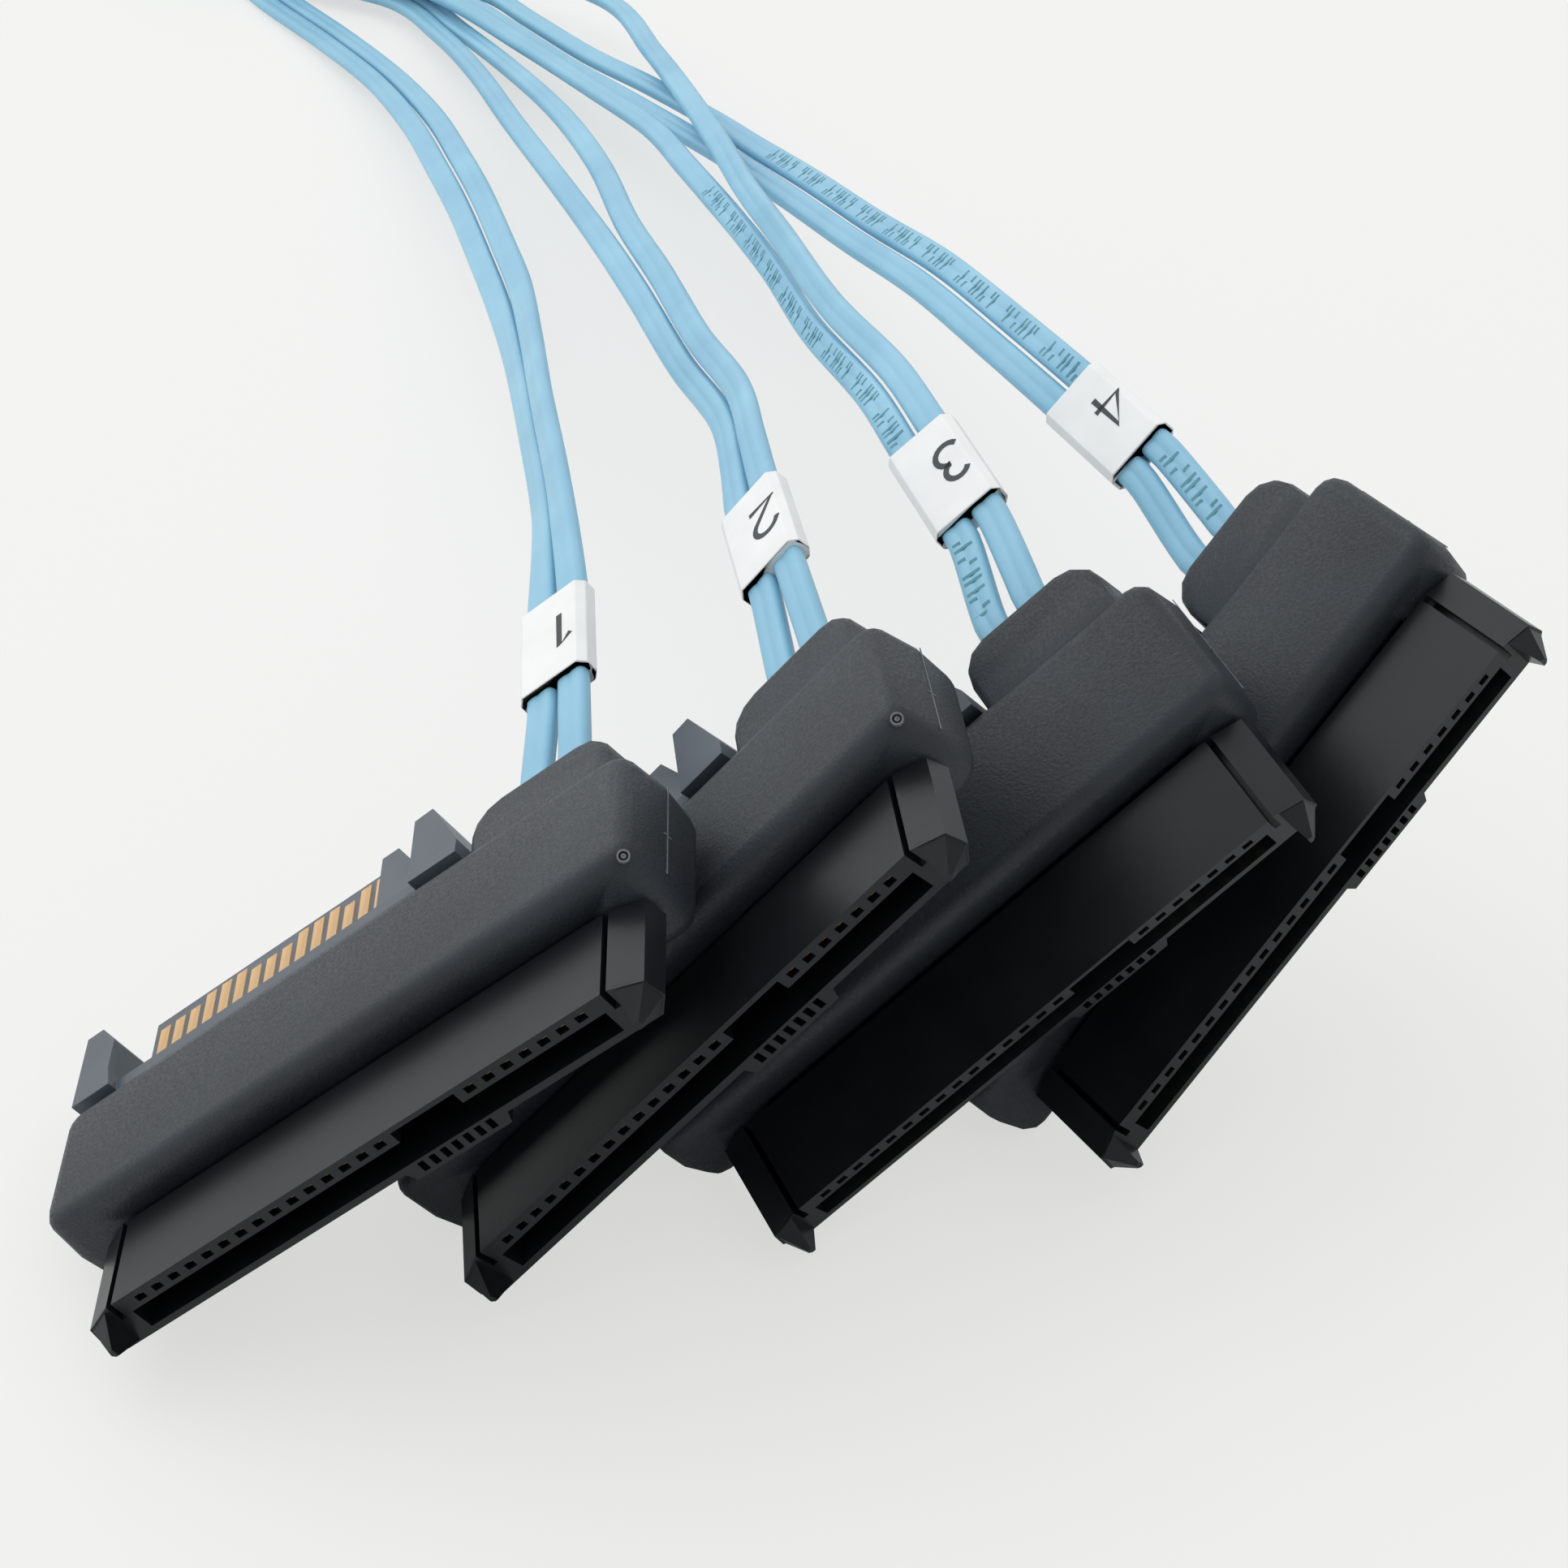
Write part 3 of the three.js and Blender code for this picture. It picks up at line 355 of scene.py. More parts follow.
def ribbon_section():
    """Outline of one flat ribbon: two conductors side by side under one jacket."""
    half = RIBBON_THICKNESS / 2
    middle = RIBBON_WIDTH / 2 + SECTION_SPARE - SECTION_EDGE
    flat = middle * FLAT_SHARE
    shoulder = half - GROOVE_DEPTH * GROOVE_SHOULDER
    valley = half - GROOVE_DEPTH
    outline = []
    for side in (1, -1):
        for k in range(SECTION_STEPS + 1):
            angle = rad(-90 + 180 * k / SECTION_STEPS)
            across = middle + SECTION_EDGE * math.cos(angle)
            outline.append((side * across, side * half * math.sin(angle)))
        outline += [
            (side * flat, side * half),
            (side * GROOVE_HALF, side * shoulder),
            (0.0, side * valley),
            (-side * GROOVE_HALF, side * shoulder),
            (-side * flat, side * half),
        ]
    return outline


def swept(points, directions, tilts, outline):
    verts, faces = [], []
    n = len(outline)
    for p, d, tilt in zip(points, directions, tilts):
        side = side_of(d, tilt)
        normal = side.cross(d)
        verts += [(p + side * a + normal * b) * MM for a, b in outline]
    for i in range(len(points) - 1):
        for j in range(n):
            a, b = i * n + j, i * n + (j + 1) % n
            faces.append((a, a + n, b + n, b))
    faces.append(tuple(range(n)))
    faces.append(tuple(reversed(range((len(points) - 1) * n, len(points) * n))))
    return verts, faces


# Materials

def linear(r, g, b):
    def one(v):
        v /= 255
        return v / 12.92 if v <= 0.04045 else ((v + 0.055) / 1.055) ** 2.4
    return (one(r), one(g), one(b), 1.0)


def material(name, colour, roughness, metallic=0.0, specular=0.5):
    mat = bpy.data.materials.new(name)
    mat.use_nodes = True
    shader = mat.node_tree.nodes["Principled BSDF"]
    shader.inputs["Base Color"].default_value = linear(*colour)
    shader.inputs["Roughness"].default_value = roughness
    shader.inputs["Metallic"].default_value = metallic
    shader.inputs["Specular IOR Level"].default_value = specular
    return mat, mat.node_tree.nodes, mat.node_tree.links, shader


def noise(nodes, links, scale, detail):
    where = nodes.new("ShaderNodeTexCoord")
    tex = nodes.new("ShaderNodeTexNoise")
    tex.inputs["Scale"].default_value = scale
    tex.inputs["Detail"].default_value = detail
    links.new(where.outputs["Object"], tex.inputs["Vector"])
    return tex


def bump(nodes, links, shader, height, strength, distance):
    node = nodes.new("ShaderNodeBump")
    node.inputs["Strength"].default_value = strength
    node.inputs["Distance"].default_value = distance
    links.new(height, node.inputs["Height"])
    links.new(node.outputs["Normal"], shader.inputs["Normal"])


def ramp(nodes, links, value, stops):
    node = nodes.new("ShaderNodeValToRGB")
    elements = node.color_ramp.elements
    elements[0].position, elements[0].color = stops[0]
    elements[1].position, elements[1].color = stops[-1]
    for position, colour in stops[1:-1]:
        elements.new(position).color = colour
    links.new(value, node.inputs["Fac"])
    return node


# Noise values at which a tinted surface has its dark and its light tone
TINT_DARK_AT = 0.3
TINT_LIGHT_AT = 0.7


def tint(nodes, links, shader, scale, detail, dark, light):
    """A colour that drifts between two tones in soft clouds."""
    cloud = noise(nodes, links, scale, detail)
    stops = [(TINT_DARK_AT, linear(*dark)), (TINT_LIGHT_AT, linear(*light))]
    tone = ramp(nodes, links, cloud.outputs["Fac"], stops)
    links.new(tone.outputs["Color"], shader.inputs["Base Color"])


def overmould_material():
    """Fine grained black: grain in the bump and in the gloss."""
    mat, nodes, links, shader = material("overmould", (40, 42, 45), 0.5, specular=0.4)
    grain = noise(nodes, links, scale=5600, detail=3)
    bump(nodes, links, shader, grain.outputs["Fac"], strength=0.5, distance=0.00007)
    tint(nodes, links, shader, scale=130, detail=3, dark=(36, 40, 45), light=(45, 50, 56))
    glossy, dull = (0.4, 0.4, 0.4, 1), (0.6, 0.6, 0.6, 1)
    rough = ramp(nodes, links, grain.outputs["Fac"], [(0.35, glossy), (0.65, dull)])
    links.new(rough.outputs["Color"], shader.inputs["Roughness"])
    return mat


def smooth_plastic(name, dark, light, roughness, specular=0.5):
    """Moulded plastic with faint clouds of tone and a very fine bump."""
    mat, nodes, links, shader = material(name, dark, roughness, specular=specular)
    tint(nodes, links, shader, scale=260, detail=4, dark=dark, light=light)
    fine = noise(nodes, links, scale=2400, detail=3)
    bump(nodes, links, shader, fine.outputs["Fac"], strength=0.12, distance=0.00004)
    return mat


def ribbon_material():
    """Soft light blue jacket, a little translucent and faintly crinkled."""
    mat, nodes, links, shader = material("ribbon", (146, 200, 232), 0.4)
    tint(nodes, links, shader, scale=120, detail=3, dark=(128, 182, 209), light=(141, 195, 218))
    crinkle = noise(nodes, links, scale=700, detail=4)
    bump(nodes, links, shader, crinkle.outputs["Fac"], strength=0.1, distance=0.00005)
    shader.inputs["Subsurface Weight"].default_value = 0.12
    shader.inputs["Subsurface Radius"].default_value = (0.001, 0.0016, 0.002)
    shader.inputs["Subsurface Scale"].default_value = 0.5
    return mat


def metal_material(name, colour, roughness):
    """Bare metal with a faint unevenness."""
    mat, nodes, links, shader = material(name, colour, roughness, metallic=1.0)
    cloud = noise(nodes, links, scale=900, detail=3)
    bump(nodes, links, shader, cloud.outputs["Fac"], strength=0.1, distance=0.00003)
    return mat


MATS = {
    "overmould": overmould_material(),
    "receptacle": smooth_plastic("receptacle", (16, 17, 19), (22, 24, 27), 0.3, 0.3),
    "power_plug": smooth_plastic("power_plug", (70, 78, 86), (80, 88, 96), 0.42),
    "ribbon": ribbon_material(),
    "sleeve": smooth_plastic("sleeve", (234, 234, 232), (243, 243, 241), 0.5),
    "ink": smooth_plastic("ink", (50, 56, 58), (60, 66, 68), 0.6),
    "print": smooth_plastic("print", (62, 128, 146), (84, 146, 162), 0.5),
    "flash": smooth_plastic("flash", (96, 100, 104), (120, 124, 128), 0.5),
    "gold": metal_material("gold", (228, 186, 132), 0.38),
    # Painted shade: the spring fingers' metal is the gold made darker for the shade they sit in inside the
    # cavity
    "contact": metal_material("contact", (176, 150, 104), 0.4),
    "shell": smooth_plastic("shell", (34, 35, 38), (42, 44, 47), 0.4),
    "board": smooth_plastic("board", (28, 74, 50), (34, 84, 58), 0.4),
    "latch": metal_material("latch", (188, 190, 194), 0.3),
    "strap": smooth_plastic("strap", (38, 39, 42), (46, 48, 51), 0.7),
}


# Cords first: eight flat ribbons

def make_ribbons():
    outline = ribbon_section()
    made = []
    for leg in range(len(LEGS)):
        for side, letter in ((-1, "a"), (1, "b")):
            points, directions, tilts = ribbon_path(leg, side)
            verts, faces = swept(points, directions, tilts, outline)
            piece = new_object(f"flat_ribbon_{leg + 1}{letter}", verts, faces, MATS["ribbon"])
            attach(piece, "root")
            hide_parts(f"ribbon_{leg + 1}{letter}", "cable_coil", "cable_tail")
            made.append((piece, points, directions, tilts))
    return made


# Copies of the solids: the weld in metres, what counts as flat and as sharp in degrees, and the
# bevels in millimetres
WELD = 2e-6
FLAT_ANGLE = 0.5
SHARP_ANGLE = 30.0
MOULDED_ANGLE = 40.0
BEVEL_SEGMENTS = 2
FACE_BEVEL = 0.05
PLUG_BEVEL = 0.04
SLEEVE_BEVEL = 0.3
SHELL_BEVEL = 0.08
BOARD_BEVEL = 0.05
LATCH_BEVEL = 0.08


def dressed(node, name, mat, bevel=0.0, angle=SHARP_ANGLE):
    """A copy of a solid with clean flat faces, soft edges and smooth round parts, which replaces it."""
    data = NODES[node].data.copy()
    data.name = name
    mesh = bmesh.new()
    mesh.from_mesh(data)
    bmesh.ops.remove_doubles(mesh, verts=mesh.verts, dist=WELD)
    bmesh.ops.dissolve_limit(mesh, angle_limit=rad(FLAT_ANGLE), verts=mesh.verts, edges=mesh.edges)
    mesh.to_mesh(data)
    mesh.free()
    data.materials.clear()
    data.materials.append(MATS[mat])
    data.polygons.foreach_set("use_smooth", [True] * len(data.polygons))
    data.set_sharp_from_angle(angle=rad(angle))
    obj = bpy.data.objects.new(name, data)
    bpy.context.scene.collection.objects.link(obj)
    if bevel:
        modifier = obj.modifiers.new("edges", "BEVEL")
        modifier.width = bevel * MM
        modifier.segments = BEVEL_SEGMENTS
        modifier.limit_method = "ANGLE"
        modifier.angle_limit = rad(angle)
        modifier.harden_normals = True
    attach(obj, "root")
    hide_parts(node)
    return obj


# Surface pieces

def strip_faces(count):
    """Faces of a strip of four-cornered rings, closed at both ends."""
    faces = []
    for i in range(count - 1):
        for j in range(4):
            a, b = i * 4 + j, i * 4 + (j + 1) % 4
            faces.append((a, b, b + 4, a + 4))
    faces.append((3, 2, 1, 0))
    faces.append(tuple(4 * count - 4 + j for j in range(4)))
    return faces


def slab(line, place, width, low, high):
    """A strip along a flat line, given in a face's own axes, from one height above the face to another."""
    count = len(line)
    edges = []
    for i, (x, y) in enumerate(line):
        before, after = line[max(i - 1, 0)], line[min(i + 1, count - 1)]
        along = Vector((after[0] - before[0], after[1] - before[1])).normalized()
        out = Vector((-along.y, along.x)) * (width / 2)
        edges.append(((x - out.x, y - out.y), (x + out.x, y + out.y)))
    verts = []
    for (ax, ay), (bx, by) in edges:
        for x, y, z in ((ax, ay, low), (ax, ay, high), (bx, by, high), (bx, by, low)):
            verts.append(place @ Vector((x, y, z)) * MM)
    return verts, strip_faces(count)


def merged(parts):
    verts, faces = [], []
    for more_verts, more_faces in parts:
        base = len(verts)
        verts += more_verts
        faces += [tuple(i + base for i in face) for face in more_faces]
    return verts, faces


def arc(cx, cy, radius, first, last, steps=12):
    angles = (rad(first + (last - first) * k / steps) for k in range(steps + 1))
    return [(cx + radius * math.cos(a), cy + radius * math.sin(a)) for a in angles]


# Plain digits in a cell that is 1 high, and the shift from the sleeve's middle to the cell's corner
DIGITS = {
    1: [[(0.10, 0.78), (0.36, 1.0), (0.36, 0.0)]],
    2: [[*arc(0.31, 0.70, 0.29, 165, -38), (0.02, 0.02), (0.62, 0.02)]],
    3: [[*arc(0.29, 0.75, 0.24, 150, -80), *arc(0.29, 0.27, 0.28, 78, -150)]],
    4: [[(0.46, 0.0), (0.46, 1.0), (0.0, 0.32), (0.62, 0.32)]],
}
DIGIT_SHIFT = (-0.62, -0.5)
DIGIT_HEIGHT = 3.4
DIGIT_STROKE = 0.42
DIGIT_RISE = 0.03


def sleeve_face(leg):
    """Axes of a sleeve's upper face: across to the left ribbon, along to the connector, and out."""
    start, end = (Vector(p) for p in LEGS[leg]["sleeve"])
    along = (end - start).normalized()
    across = side_of(along, CONNECTORS[leg]["rise"])
    normal = across.cross(along)
    top = RIBBON_THICKNESS / 2 + SLEEVE_GAP + SLEEVE_WALL
    axes = Matrix((-across, -along, normal)).transposed().to_4x4()
    return Matrix.Translation((start + end) / 2 + normal * top) @ axes


def make_digit(leg):
    place = sleeve_face(leg)
    left, low = (share * DIGIT_HEIGHT for share in DIGIT_SHIFT)
    parts = []
    for line in DIGITS[leg + 1]:
        own = [(x * DIGIT_HEIGHT + left, y * DIGIT_HEIGHT + low) for x, y in line]
        parts.append(slab(own, place, DIGIT_STROKE, -DIGIT_RISE, DIGIT_RISE))
    piece = new_object(f"digit_{leg + 1}", *merged(parts), MATS["ink"], smooth=False)
    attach(piece, "root")
    return piece


# Plain marks printed along two of the ribbons: each has two short bars across, given by their ends as
# shares of the mark's height, and None leaves a gap
FULL, LOW, HIGH, NONE = (-1.0, 1.0), (-1.0, -0.15), (0.15, 1.0), None
MARK_ROW = [(FULL, HIGH), (LOW, FULL), (FULL, FULL), (HIGH, LOW), (FULL, LOW), (NONE, NONE), (HIGH, FULL),
            (FULL, FULL), (LOW, HIGH), (FULL, HIGH), (NONE, NONE)]
MARK_HEIGHT = 1.35
MARK_STEP = 1.55
MARK_COLUMN = 0.3
MARK_STROKE = 0.26
MARK_RISE = 0.012
MARK_SUNK = 4 * MARK_RISE
MARK_FIRST = 3.4
MARK_LAST = 95.0
SLEEVE_CLEAR = 0.8

# The printed ribbons, by their place in the order 1a, 1b, 2a and so on
PRINTED = {4: "print_3", 7: "print_4"}


def make_marks(index, points, directions, tilts):
    """Marks along the upper face of one ribbon, left out under its sleeve."""
    leg = index // 2
    start, end = (Vector(p) for p in LEGS[leg]["sleeve"])
    middle, reach = (start + end) / 2, (end - start).length / 2 + SLEEVE_CLEAR
    along = (end - start).normalized()
    parts, gone, following, count = [], 0.0, MARK_FIRST, 0
    for a, b, d, tilt in zip(points, points[1:], directions, tilts):
        step = (b - a).length
        while gone + step > following and following < MARK_LAST:
            at = a.lerp(b, (following - gone) / step)
            side = side_of(d, tilt)
            normal = side.cross(d)
            axes = Matrix((side, d, normal)).transposed().to_4x4()
            place = Matrix.Translation(at + normal * (RIBBON_THICKNESS / 2)) @ axes
            shown = abs((at - middle).dot(along)) > reach
            for bar, column in zip(MARK_ROW[count % len(MARK_ROW)], (-MARK_COLUMN, MARK_COLUMN)):
                if bar and shown:
                    low, high = (share * MARK_HEIGHT / 2 for share in bar)
                    line = [(low, column), ((low + high) / 2, column), (high, column)]
                    parts.append(slab(line, place, MARK_STROKE, -MARK_SUNK, MARK_RISE))
            following += MARK_STEP
            count += 1
        gone += step
    piece = new_object(PRINTED[index], *merged(parts), MATS["print"], smooth=False)
    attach(piece, "root")
    return piece


# Heights between which a face of the power plug is the top of a pad
PAD_LOWEST = BLADE_TOP + PAD_RISE / 4
PAD_HIGHEST = BLADE_TOP + PAD_RISE + 0.01


def paint_pads(piece, connector):
    """Gives the raised contact pads of a power plug their gold."""
    piece.data.materials.append(MATS["gold"])
    back = connector_matrix(connector).inverted()
    for face in piece.data.polygons:
        height = (back @ (face.center / MM)).z
        if PAD_LOWEST < height < PAD_HIGHEST:
            face.material_index = 1


# Marks that the mould left: its seam as depths along the bar's end, with a short tick across, and
# its gate, a ring and a dot on the rounded corner, which reach down into the bar
SEAM_LINE = (8.3, 11.0, 13.0, 16.0)
SEAM_TICK_AT = 11.6
SEAM_TICK_HALF = 0.3
SEAM_WIDTH = 0.07
SEAM_RISE = 0.03
GATE_AT = Vector((20.5, 7.42, 2.36))
GATE_FACING = Vector((0.5, -0.6, 0.62))
GATE_RADIUS = 0.32
GATE_STEPS = 20
GATE_WIDTH = 0.1
GATE_RISE = 0.09
DOT_SHARE = 0.3
DOT_STEPS = 10
DOT_WIDTH = 0.12
DOT_RISE = 0.04
GATE_SUNK = 0.3
GATE_MARKED = (1, 2)


def make_seam(number, connector):
    """The thin flash line where the two halves of the mould met, on the right end of the bar."""
    turn = Matrix(((0, 0, 1), (1, 0, 0), (0, 1, 0))).to_4x4()
    place = connector_matrix(connector) @ Matrix.Translation(Vector((BAR_RIGHT, 0, PARTING))) @ turn
    line = [(y, 0.0) for y in SEAM_LINE]
    tick = [(SEAM_TICK_AT, -SEAM_TICK_HALF), (SEAM_TICK_AT, SEAM_TICK_HALF)]
    parts = [slab(own, place, SEAM_WIDTH, -SEAM_RISE, SEAM_RISE) for own in (line, tick)]
    piece = new_object(f"seam_{number}", *merged(parts), MATS["flash"], smooth=False)
    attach(piece, "root")


def make_gate_mark(number, connector):
    """The small round witness mark of the mould's gate, at the top corner of the bar."""
    turn = GATE_FACING.to_track_quat("Z", "Y").to_matrix().to_4x4()
    place = connector_matrix(connector) @ Matrix.Translation(GATE_AT) @ turn
    ring = arc(0, 0, GATE_RADIUS, 0, 360, GATE_STEPS)
    dot = arc(0, 0, GATE_RADIUS * DOT_SHARE, 0, 360, DOT_STEPS)
    parts = [slab(ring, place, GATE_WIDTH, -GATE_SUNK, GATE_RISE),
             slab(dot, place, DOT_WIDTH, -GATE_SUNK, DOT_RISE)]
    piece = new_object(f"gate_mark_{number}", *merged(parts), MATS["flash"])
    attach(piece, "root")


# Contact fingers of the host plug's card, on both of its faces. The record has no slot for contacts,
# so these take the gold, and the spring fingers take the gold darkened as painted shade.
CARD_FINGERS = 18
CARD_PITCH = 0.84
CARD_FINGER_WIDTH = 0.5
CARD_FINGER_LENGTH = 3.2
CARD_FINGER_RISE = 0.03
CARD_FINGER_INSET = 0.5


def host_place():
    coil_edge = Vector((math.cos(COIL_END), math.sin(COIL_END), 0)) * COIL_RADIUS
    at = COIL_CENTRE + coil_edge + TAIL_HEADING * (TAIL_START + TAIL_LENGTH + SEAT)
    turn = Matrix.Rotation(math.atan2(TAIL_HEADING.y, TAIL_HEADING.x) - math.pi / 2, 4, "Z")
    return Matrix.Translation((at.x, at.y, HOST_HEIGHT / 2)) @ turn


def make_card_fingers():
    """Gold contact fingers on both faces of the host plug's card."""
    parts = []
    front = HOST_LENGTH + CARD_REACH - CARD_FINGER_INSET
    half = CARD_THICKNESS / 2
    for i in range(CARD_FINGERS):
        x = (i - (CARD_FINGERS - 1) / 2) * CARD_PITCH
        line = [(x, front - CARD_FINGER_LENGTH), (x, front - CARD_FINGER_LENGTH / 2), (x, front)]
        for face in (half, -half):
            low, high = face - CARD_FINGER_RISE, face + CARD_FINGER_RISE
            parts.append(slab(line, host_place(), CARD_FINGER_WIDTH, low, high))
    piece = new_object("card_fingers", *merged(parts), MATS["gold"], smooth=False)
    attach(piece, "root")
    return piece


# Strap round the coil: where it is along the first turn in degrees, and its sizes
STRAP_TURNED = 60.0
STRAP_WIDTH = 7.0
STRAP_THICKNESS = 0.12
STRAP_CORNER = 1.2
STRAP_ROOM = STRAP_CORNER / 4
STRAP_STEPS = 6
STRAP_CORNER_STEPS = 4
STRAP_SHARP_ANGLE = 40.0


def strap_outline(out):
    """Rounded rectangle round the coil's section as distance from its centre and height."""
    left, right = COIL_INNER + STRAP_CORNER, COIL_OUTER - STRAP_CORNER
    low = BUNDLE_BOTTOM + STRAP_CORNER
    high = BUNDLE_BOTTOM + 2 * BUNDLE_HEIGHT - SEAT + STRAP_ROOM - STRAP_CORNER
    outline = []
    for x, z, first in ((right, high, 0), (left, high, 90), (left, low, 180), (right, low, 270)):
        outline += arc(x, z, STRAP_CORNER + out, first, first + 90, STRAP_CORNER_STEPS)
    return outline


def make_strap():
    """A thin flat strap that holds the turns of the coil together."""
    angle = rad(GATHER_HEADING + 90 - STRAP_TURNED)
    reach = STRAP_WIDTH / 2 / COIL_RADIUS
    verts, faces = [], []
    loops = [strap_outline(0.0), strap_outline(STRAP_THICKNESS)]
    size = len(loops[0])
    for k in range(STRAP_STEPS + 1):
        place = angle + reach * (2 * k / STRAP_STEPS - 1)
        for loop in loops:
            for r, z in loop:
                verts.append((COIL_CENTRE + Vector((math.cos(place) * r, math.sin(place) * r, z))) * MM)
    for k in range(STRAP_STEPS):
        for j in range(size):
            i = (j + 1) % size
            inner, outer = 2 * k * size, (2 * k + 1) * size
            faces.append((inner + i, inner + j, inner + j + 2 * size, inner + i + 2 * size))
            faces.append((outer + j, outer + i, outer + i + 2 * size, outer + j + 2 * size))
    last = 2 * STRAP_STEPS * size
    for j in range(size):
        i = (j + 1) % size
        faces.append((j, i, size + i, size + j))
        faces.append((last + i, last + j, last + size + j, last + size + i))
    piece = new_object("coil_strap", verts, faces, MATS["strap"])
    piece.data.set_sharp_from_angle(angle=rad(STRAP_SHARP_ANGLE))
    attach(piece, "root")
    return piece


def contact_places():
    """Where the 22 contacts lie across a connector, the power group first."""
    places = [FIRST_POWER + i * PITCH for i in range(POWER_WAYS)]
    return places + [places[-1] + ROW_GAP + i * PITCH for i in range(SIGNAL_WAYS)]


def block(place, x, y, z):
    """A box in a connector's own axes, from its ends along each."""
    corners = [(x[i], y[j], z[k]) for i, j, k in
               ((0, 0, 0), (1, 0, 0), (1, 1, 0), (0, 1, 0), (0, 0, 1), (1, 0, 1), (1, 1, 1), (0, 1, 1))]
    faces = [(3, 2, 1, 0), (4, 5, 6, 7), (0, 1, 5, 4), (1, 2, 6, 5), (2, 3, 7, 6), (3, 0, 4, 7)]
    return [place @ Vector(corner) * MM for corner in corners], faces


# Sills of the contact windows, which are open slots in the solids
SILL_HEIGHT = 0.3
SILL_DEPTH = 0.4


def make_sills(number, connector):
    """The small sills that close the contact windows towards the cavity."""
    place = connector_matrix(connector)
    half = WINDOW_WIDTH / 2
    parts = [
        block(place, (x - half, x + half), (0, SILL_DEPTH), (CAVITY_ROOF, CAVITY_ROOF + SILL_HEIGHT))
        for x in contact_places()
    ]
    piece = new_object(f"window_sills_{number}", *merged(parts), MATS["receptacle"], smooth=False)
    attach(piece, "root")


# The slit beside each guide post, across the connector, and how far its cutter reaches past the face
SLIT = (17.6, 18.0)
SLIT_FLOOR = -0.7
CUT_CLEAR = 1.0


def cut_slits(piece, connector):
    """Cuts the slit between the mating face and each guide post, from end to end."""
    place = connector_matrix(connector)
    depth = (-CUT_CLEAR, BAR_FRONT + CUT_CLEAR)
    height = (SLIT_FLOOR, FACE_TOP + CUT_CLEAR)
    slits = [block(place, across, depth, height) for across in (SLIT, (-SLIT[1], -SLIT[0]))]
    cutter = new_object("cutter", *merged(slits), MATS["receptacle"])
    bevel = piece.modifiers[0]
    bevel.harden_normals = False
    bevel.show_viewport = False
    modifier = piece.modifiers.new("slits", "BOOLEAN")
    modifier.operation = "DIFFERENCE"
    modifier.solver = "EXACT"
    modifier.object = cutter
    bpy.context.view_layer.update()
    made = piece.evaluated_get(bpy.context.evaluated_depsgraph_get())
    whole = bpy.data.meshes.new_from_object(made)
    piece.modifiers.remove(modifier)
    bevel.show_viewport = True
    whole.materials.clear()
    whole.materials.append(MATS["receptacle"])
    whole.polygons.foreach_set("use_smooth", [False] * len(whole.polygons))
    piece.data = whole
    bpy.data.objects.remove(cutter)


# Spring fingers of a receptacle: their line as depth and height, from the tip behind its window
SPRING_ROOT = 0.05
SPRING_LINE = [(0.35, 0.02), (1.5, -0.72), (CAVITY_DEPTH + SPRING_ROOT, -0.95)]
SPRING_WIDTH = 0.34
SPRING_THICKNESS = 0.14


def make_spring_fingers(number, connector):
    """The bowed contact fingers, one behind each window, rooted in the back wall of the cavity."""
    place = connector_matrix(connector)
    parts = []
    for x in contact_places():
        verts = []
        for y, z in SPRING_LINE:
            for dx, dz in ((-1, -1), (1, -1), (1, 1), (-1, 1)):
                corner = Vector((x + dx * SPRING_WIDTH / 2, y, z + dz * SPRING_THICKNESS / 2))
                verts.append(place @ corner * MM)
        parts.append((verts, strip_faces(len(SPRING_LINE))))
    # The fingers take the darkened gold, which paints the cavity's shade on them
    piece = new_object(f"spring_fingers_{number}", *merged(parts), MATS["contact"], smooth=False)
    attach(piece, "root")


def make_connector(number, connector):
    """All that is on one drive connector, and the sleeve of its leg."""
    dressed(f"overmold_{number}", f"bar_{number}", "overmould", angle=MOULDED_ANGLE)
    face = dressed(f"receptacle_{number}", f"face_{number}", "receptacle", FACE_BEVEL)
    cut_slits(face, connector)
    make_sills(number, connector)
    make_spring_fingers(number, connector)
    plug = dressed(f"power_plug_{number}", f"plug_{number}", "power_plug", PLUG_BEVEL)
    paint_pads(plug, connector)
    dressed(f"label_{number}", f"sleeve_{number}", "sleeve", SLEEVE_BEVEL)
    make_seam(number, connector)
    if number in GATE_MARKED:
        make_gate_mark(number, connector)


def make_host():
    """The host plug and the coil's strap, which all eight ribbons share."""
    return [
        dressed("host_overmold", "host_body", "overmould", angle=MOULDED_ANGLE),
        dressed("host_shell", "host_nose", "shell", SHELL_BEVEL),
        dressed("host_card", "host_board", "board", BOARD_BEVEL),
        dressed("host_latch", "host_spring", "latch", LATCH_BEVEL),
        make_card_fingers(),
        make_strap(),
    ]


def declare_cords(ribbons):
    """Prints the marks on the marked ribbons."""
    for index, (ribbon, route, directions, tilts) in enumerate(ribbons):
        if index in PRINTED:
            make_marks(index, route, directions, tilts)


# Stage: pale floor, of which the camera sees a share in its own colour, and soft light. The sky is
# brighter behind the object and to its left. Places and sizes are in metres here.

FLOOR_COLOUR = (243, 243, 241)
FLOOR_HALF = 3.0
FLOOR_OWN_SHARE = 0.7
BACKDROP_COLOUR = (243, 244, 242)
SKY_COLOUR = (0.96, 0.98, 1.0, 1)
SKY_BRIGHT = Vector((-0.55, 0.75, 0.35))
SKY_DARK_SIDE = 0.5
SKY_BRIGHT_SIDE = 1.25
SKY_DARKEST_FACING = -0.4

# Lamps: place, width of the square that shines, and power
LAMPS = {
    "key": ((-0.45, 0.35, 0.7), 0.7, 1.7),
    "fill": ((0.5, -0.4, 0.7), 0.8, 0.5),
}
LAMPS_FACE = Vector((0, 0.03, 0))


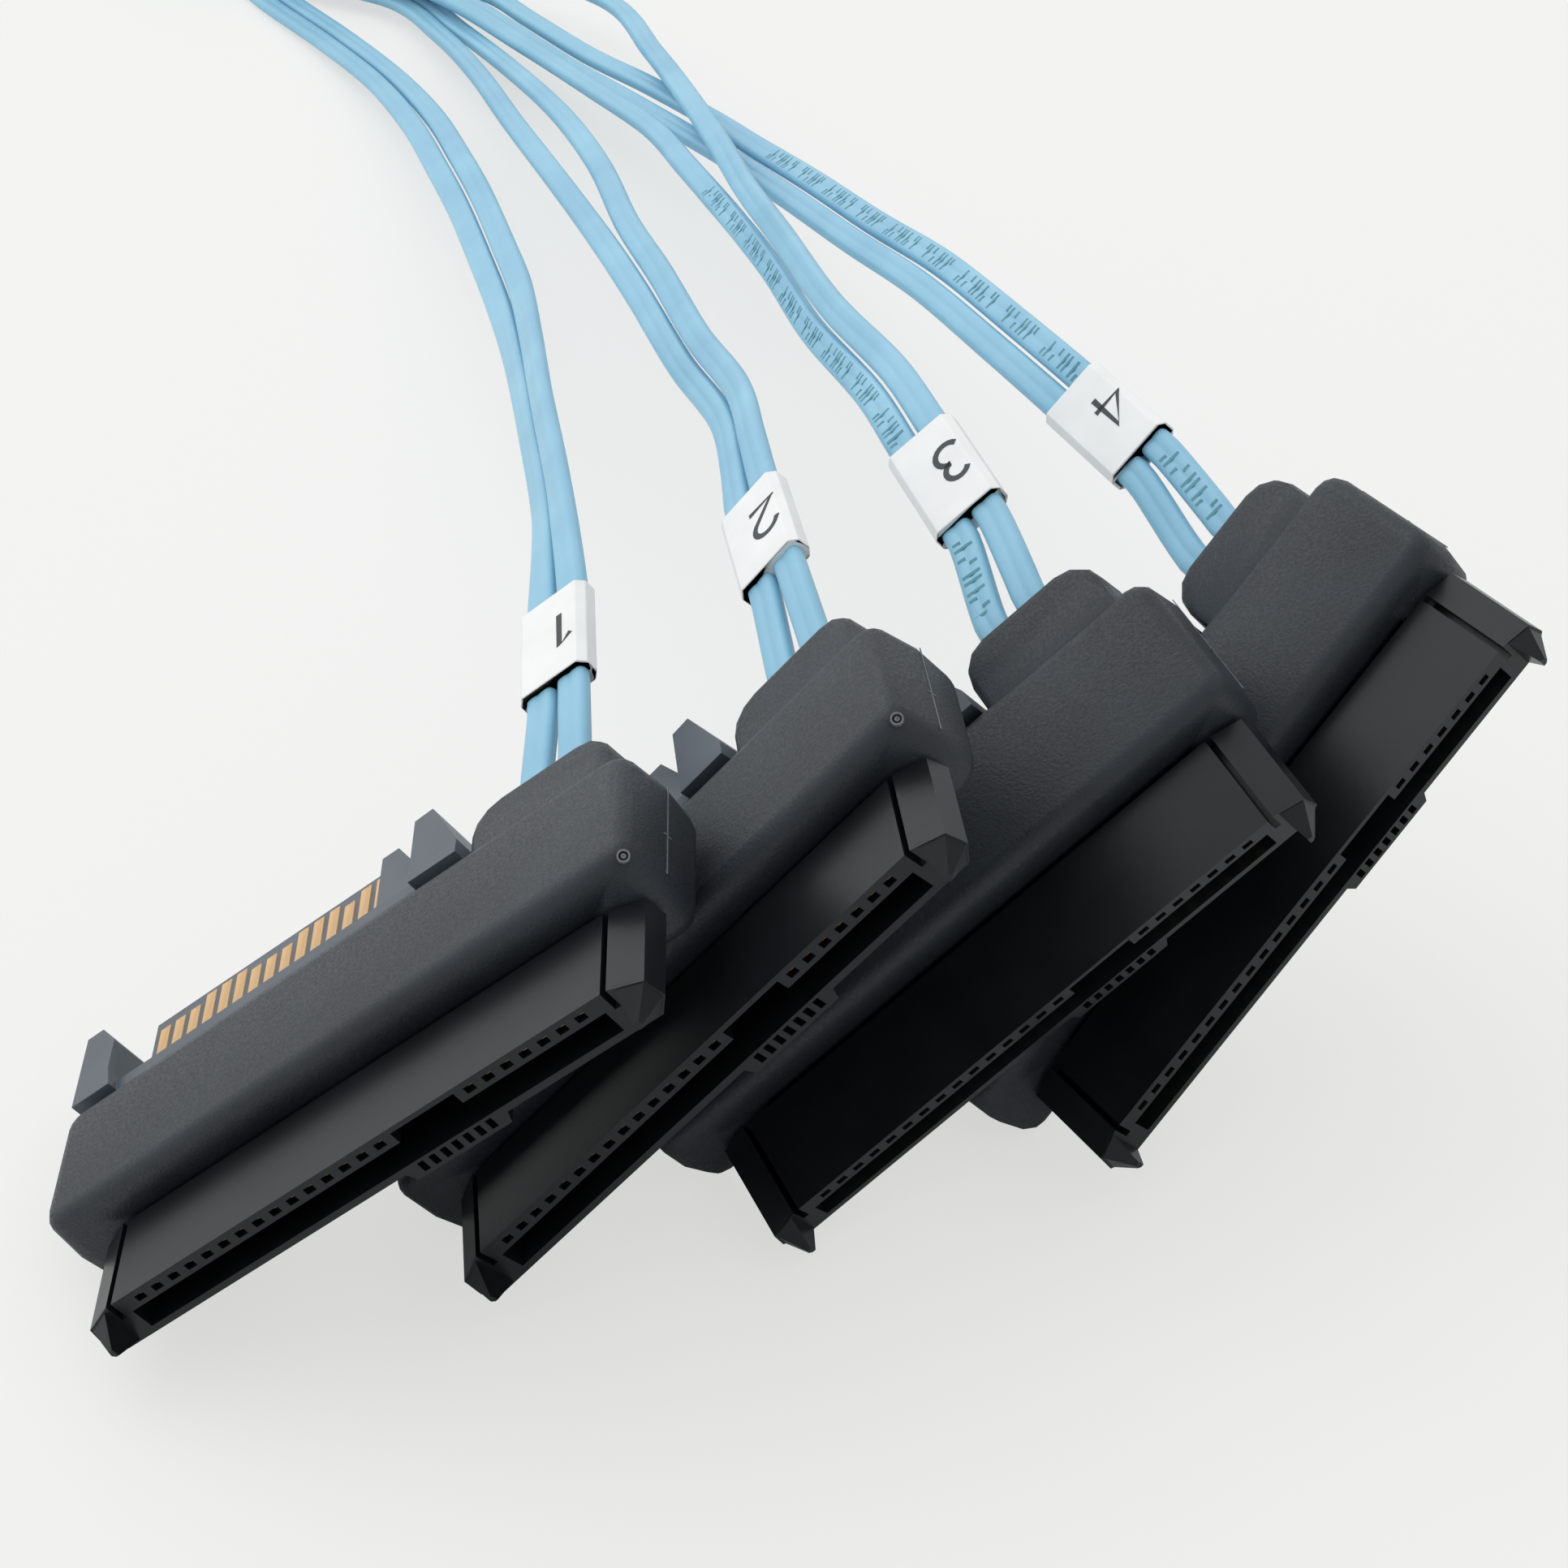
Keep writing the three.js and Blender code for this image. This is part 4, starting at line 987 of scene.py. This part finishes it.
def make_floor():
    floor_mat, nodes, links, shader = material("floor", FLOOR_COLOUR, 0.9, specular=0.2)
    corners = [(x * FLOOR_HALF, y * FLOOR_HALF, 0) for x, y in ((-1, -1), (1, -1), (1, 1), (-1, 1))]
    new_object("floor", corners, [(0, 1, 2, 3)], floor_mat)
    pale = nodes.new("ShaderNodeEmission")
    pale.inputs["Color"].default_value = linear(*FLOOR_COLOUR)
    seen = nodes.new("ShaderNodeLightPath")
    share = nodes.new("ShaderNodeMath")
    share.operation = "MULTIPLY"
    share.inputs[1].default_value = FLOOR_OWN_SHARE
    links.new(seen.outputs["Is Camera Ray"], share.inputs[0])
    blend = nodes.new("ShaderNodeMixShader")
    links.new(share.outputs["Value"], blend.inputs["Fac"])
    links.new(shader.outputs["BSDF"], blend.inputs[1])
    links.new(pale.outputs["Emission"], blend.inputs[2])
    links.new(blend.outputs["Shader"], nodes["Material Output"].inputs["Surface"])


def make_world():
    world = bpy.data.worlds.new("world")
    bpy.context.scene.world = world
    world.use_nodes = True
    nodes, links = world.node_tree.nodes, world.node_tree.links
    light = nodes["Background"]
    light.inputs["Color"].default_value = SKY_COLOUR
    where = nodes.new("ShaderNodeTexCoord")
    facing = nodes.new("ShaderNodeVectorMath")
    facing.operation = "DOT_PRODUCT"
    facing.inputs[1].default_value = SKY_BRIGHT.normalized()
    links.new(where.outputs["Generated"], facing.inputs[0])
    strength = nodes.new("ShaderNodeMapRange")
    strength.inputs["From Min"].default_value = SKY_DARKEST_FACING
    strength.inputs["To Min"].default_value = SKY_DARK_SIDE
    strength.inputs["To Max"].default_value = SKY_BRIGHT_SIDE
    links.new(facing.outputs["Value"], strength.inputs["Value"])
    links.new(strength.outputs["Result"], light.inputs["Strength"])
    shown = nodes.new("ShaderNodeBackground")
    shown.inputs["Color"].default_value = linear(*BACKDROP_COLOUR)
    ray = nodes.new("ShaderNodeLightPath")
    mix = nodes.new("ShaderNodeMixShader")
    links.new(ray.outputs["Is Camera Ray"], mix.inputs["Fac"])
    links.new(light.outputs["Background"], mix.inputs[1])
    links.new(shown.outputs["Background"], mix.inputs[2])
    links.new(mix.outputs["Shader"], nodes["World Output"].inputs["Surface"])


def make_lamp(name, at, width, power):
    data = bpy.data.lights.new(name, "AREA")
    data.shape = "RECTANGLE"
    data.size = width
    data.size_y = width
    data.energy = power
    lamp = bpy.data.objects.new(name, data)
    lamp.location = Vector(at)
    lamp.rotation_euler = (LAMPS_FACE - Vector(at)).to_track_quat("-Z", "Y").to_euler()
    bpy.context.scene.collection.objects.link(lamp)


make_camera()
made_ribbons = make_ribbons()
for number, connector in enumerate(CONNECTORS, 1):
    make_connector(number, connector)
host_pieces = make_host()
digit_pieces = [make_digit(leg) for leg in range(len(LEGS))]
declare_cords(made_ribbons)
make_floor()
make_world()
for name, (at, width, power) in LAMPS.items():
    make_lamp(name, at, width, power)

bpy.context.scene.view_settings.view_transform = "Standard"
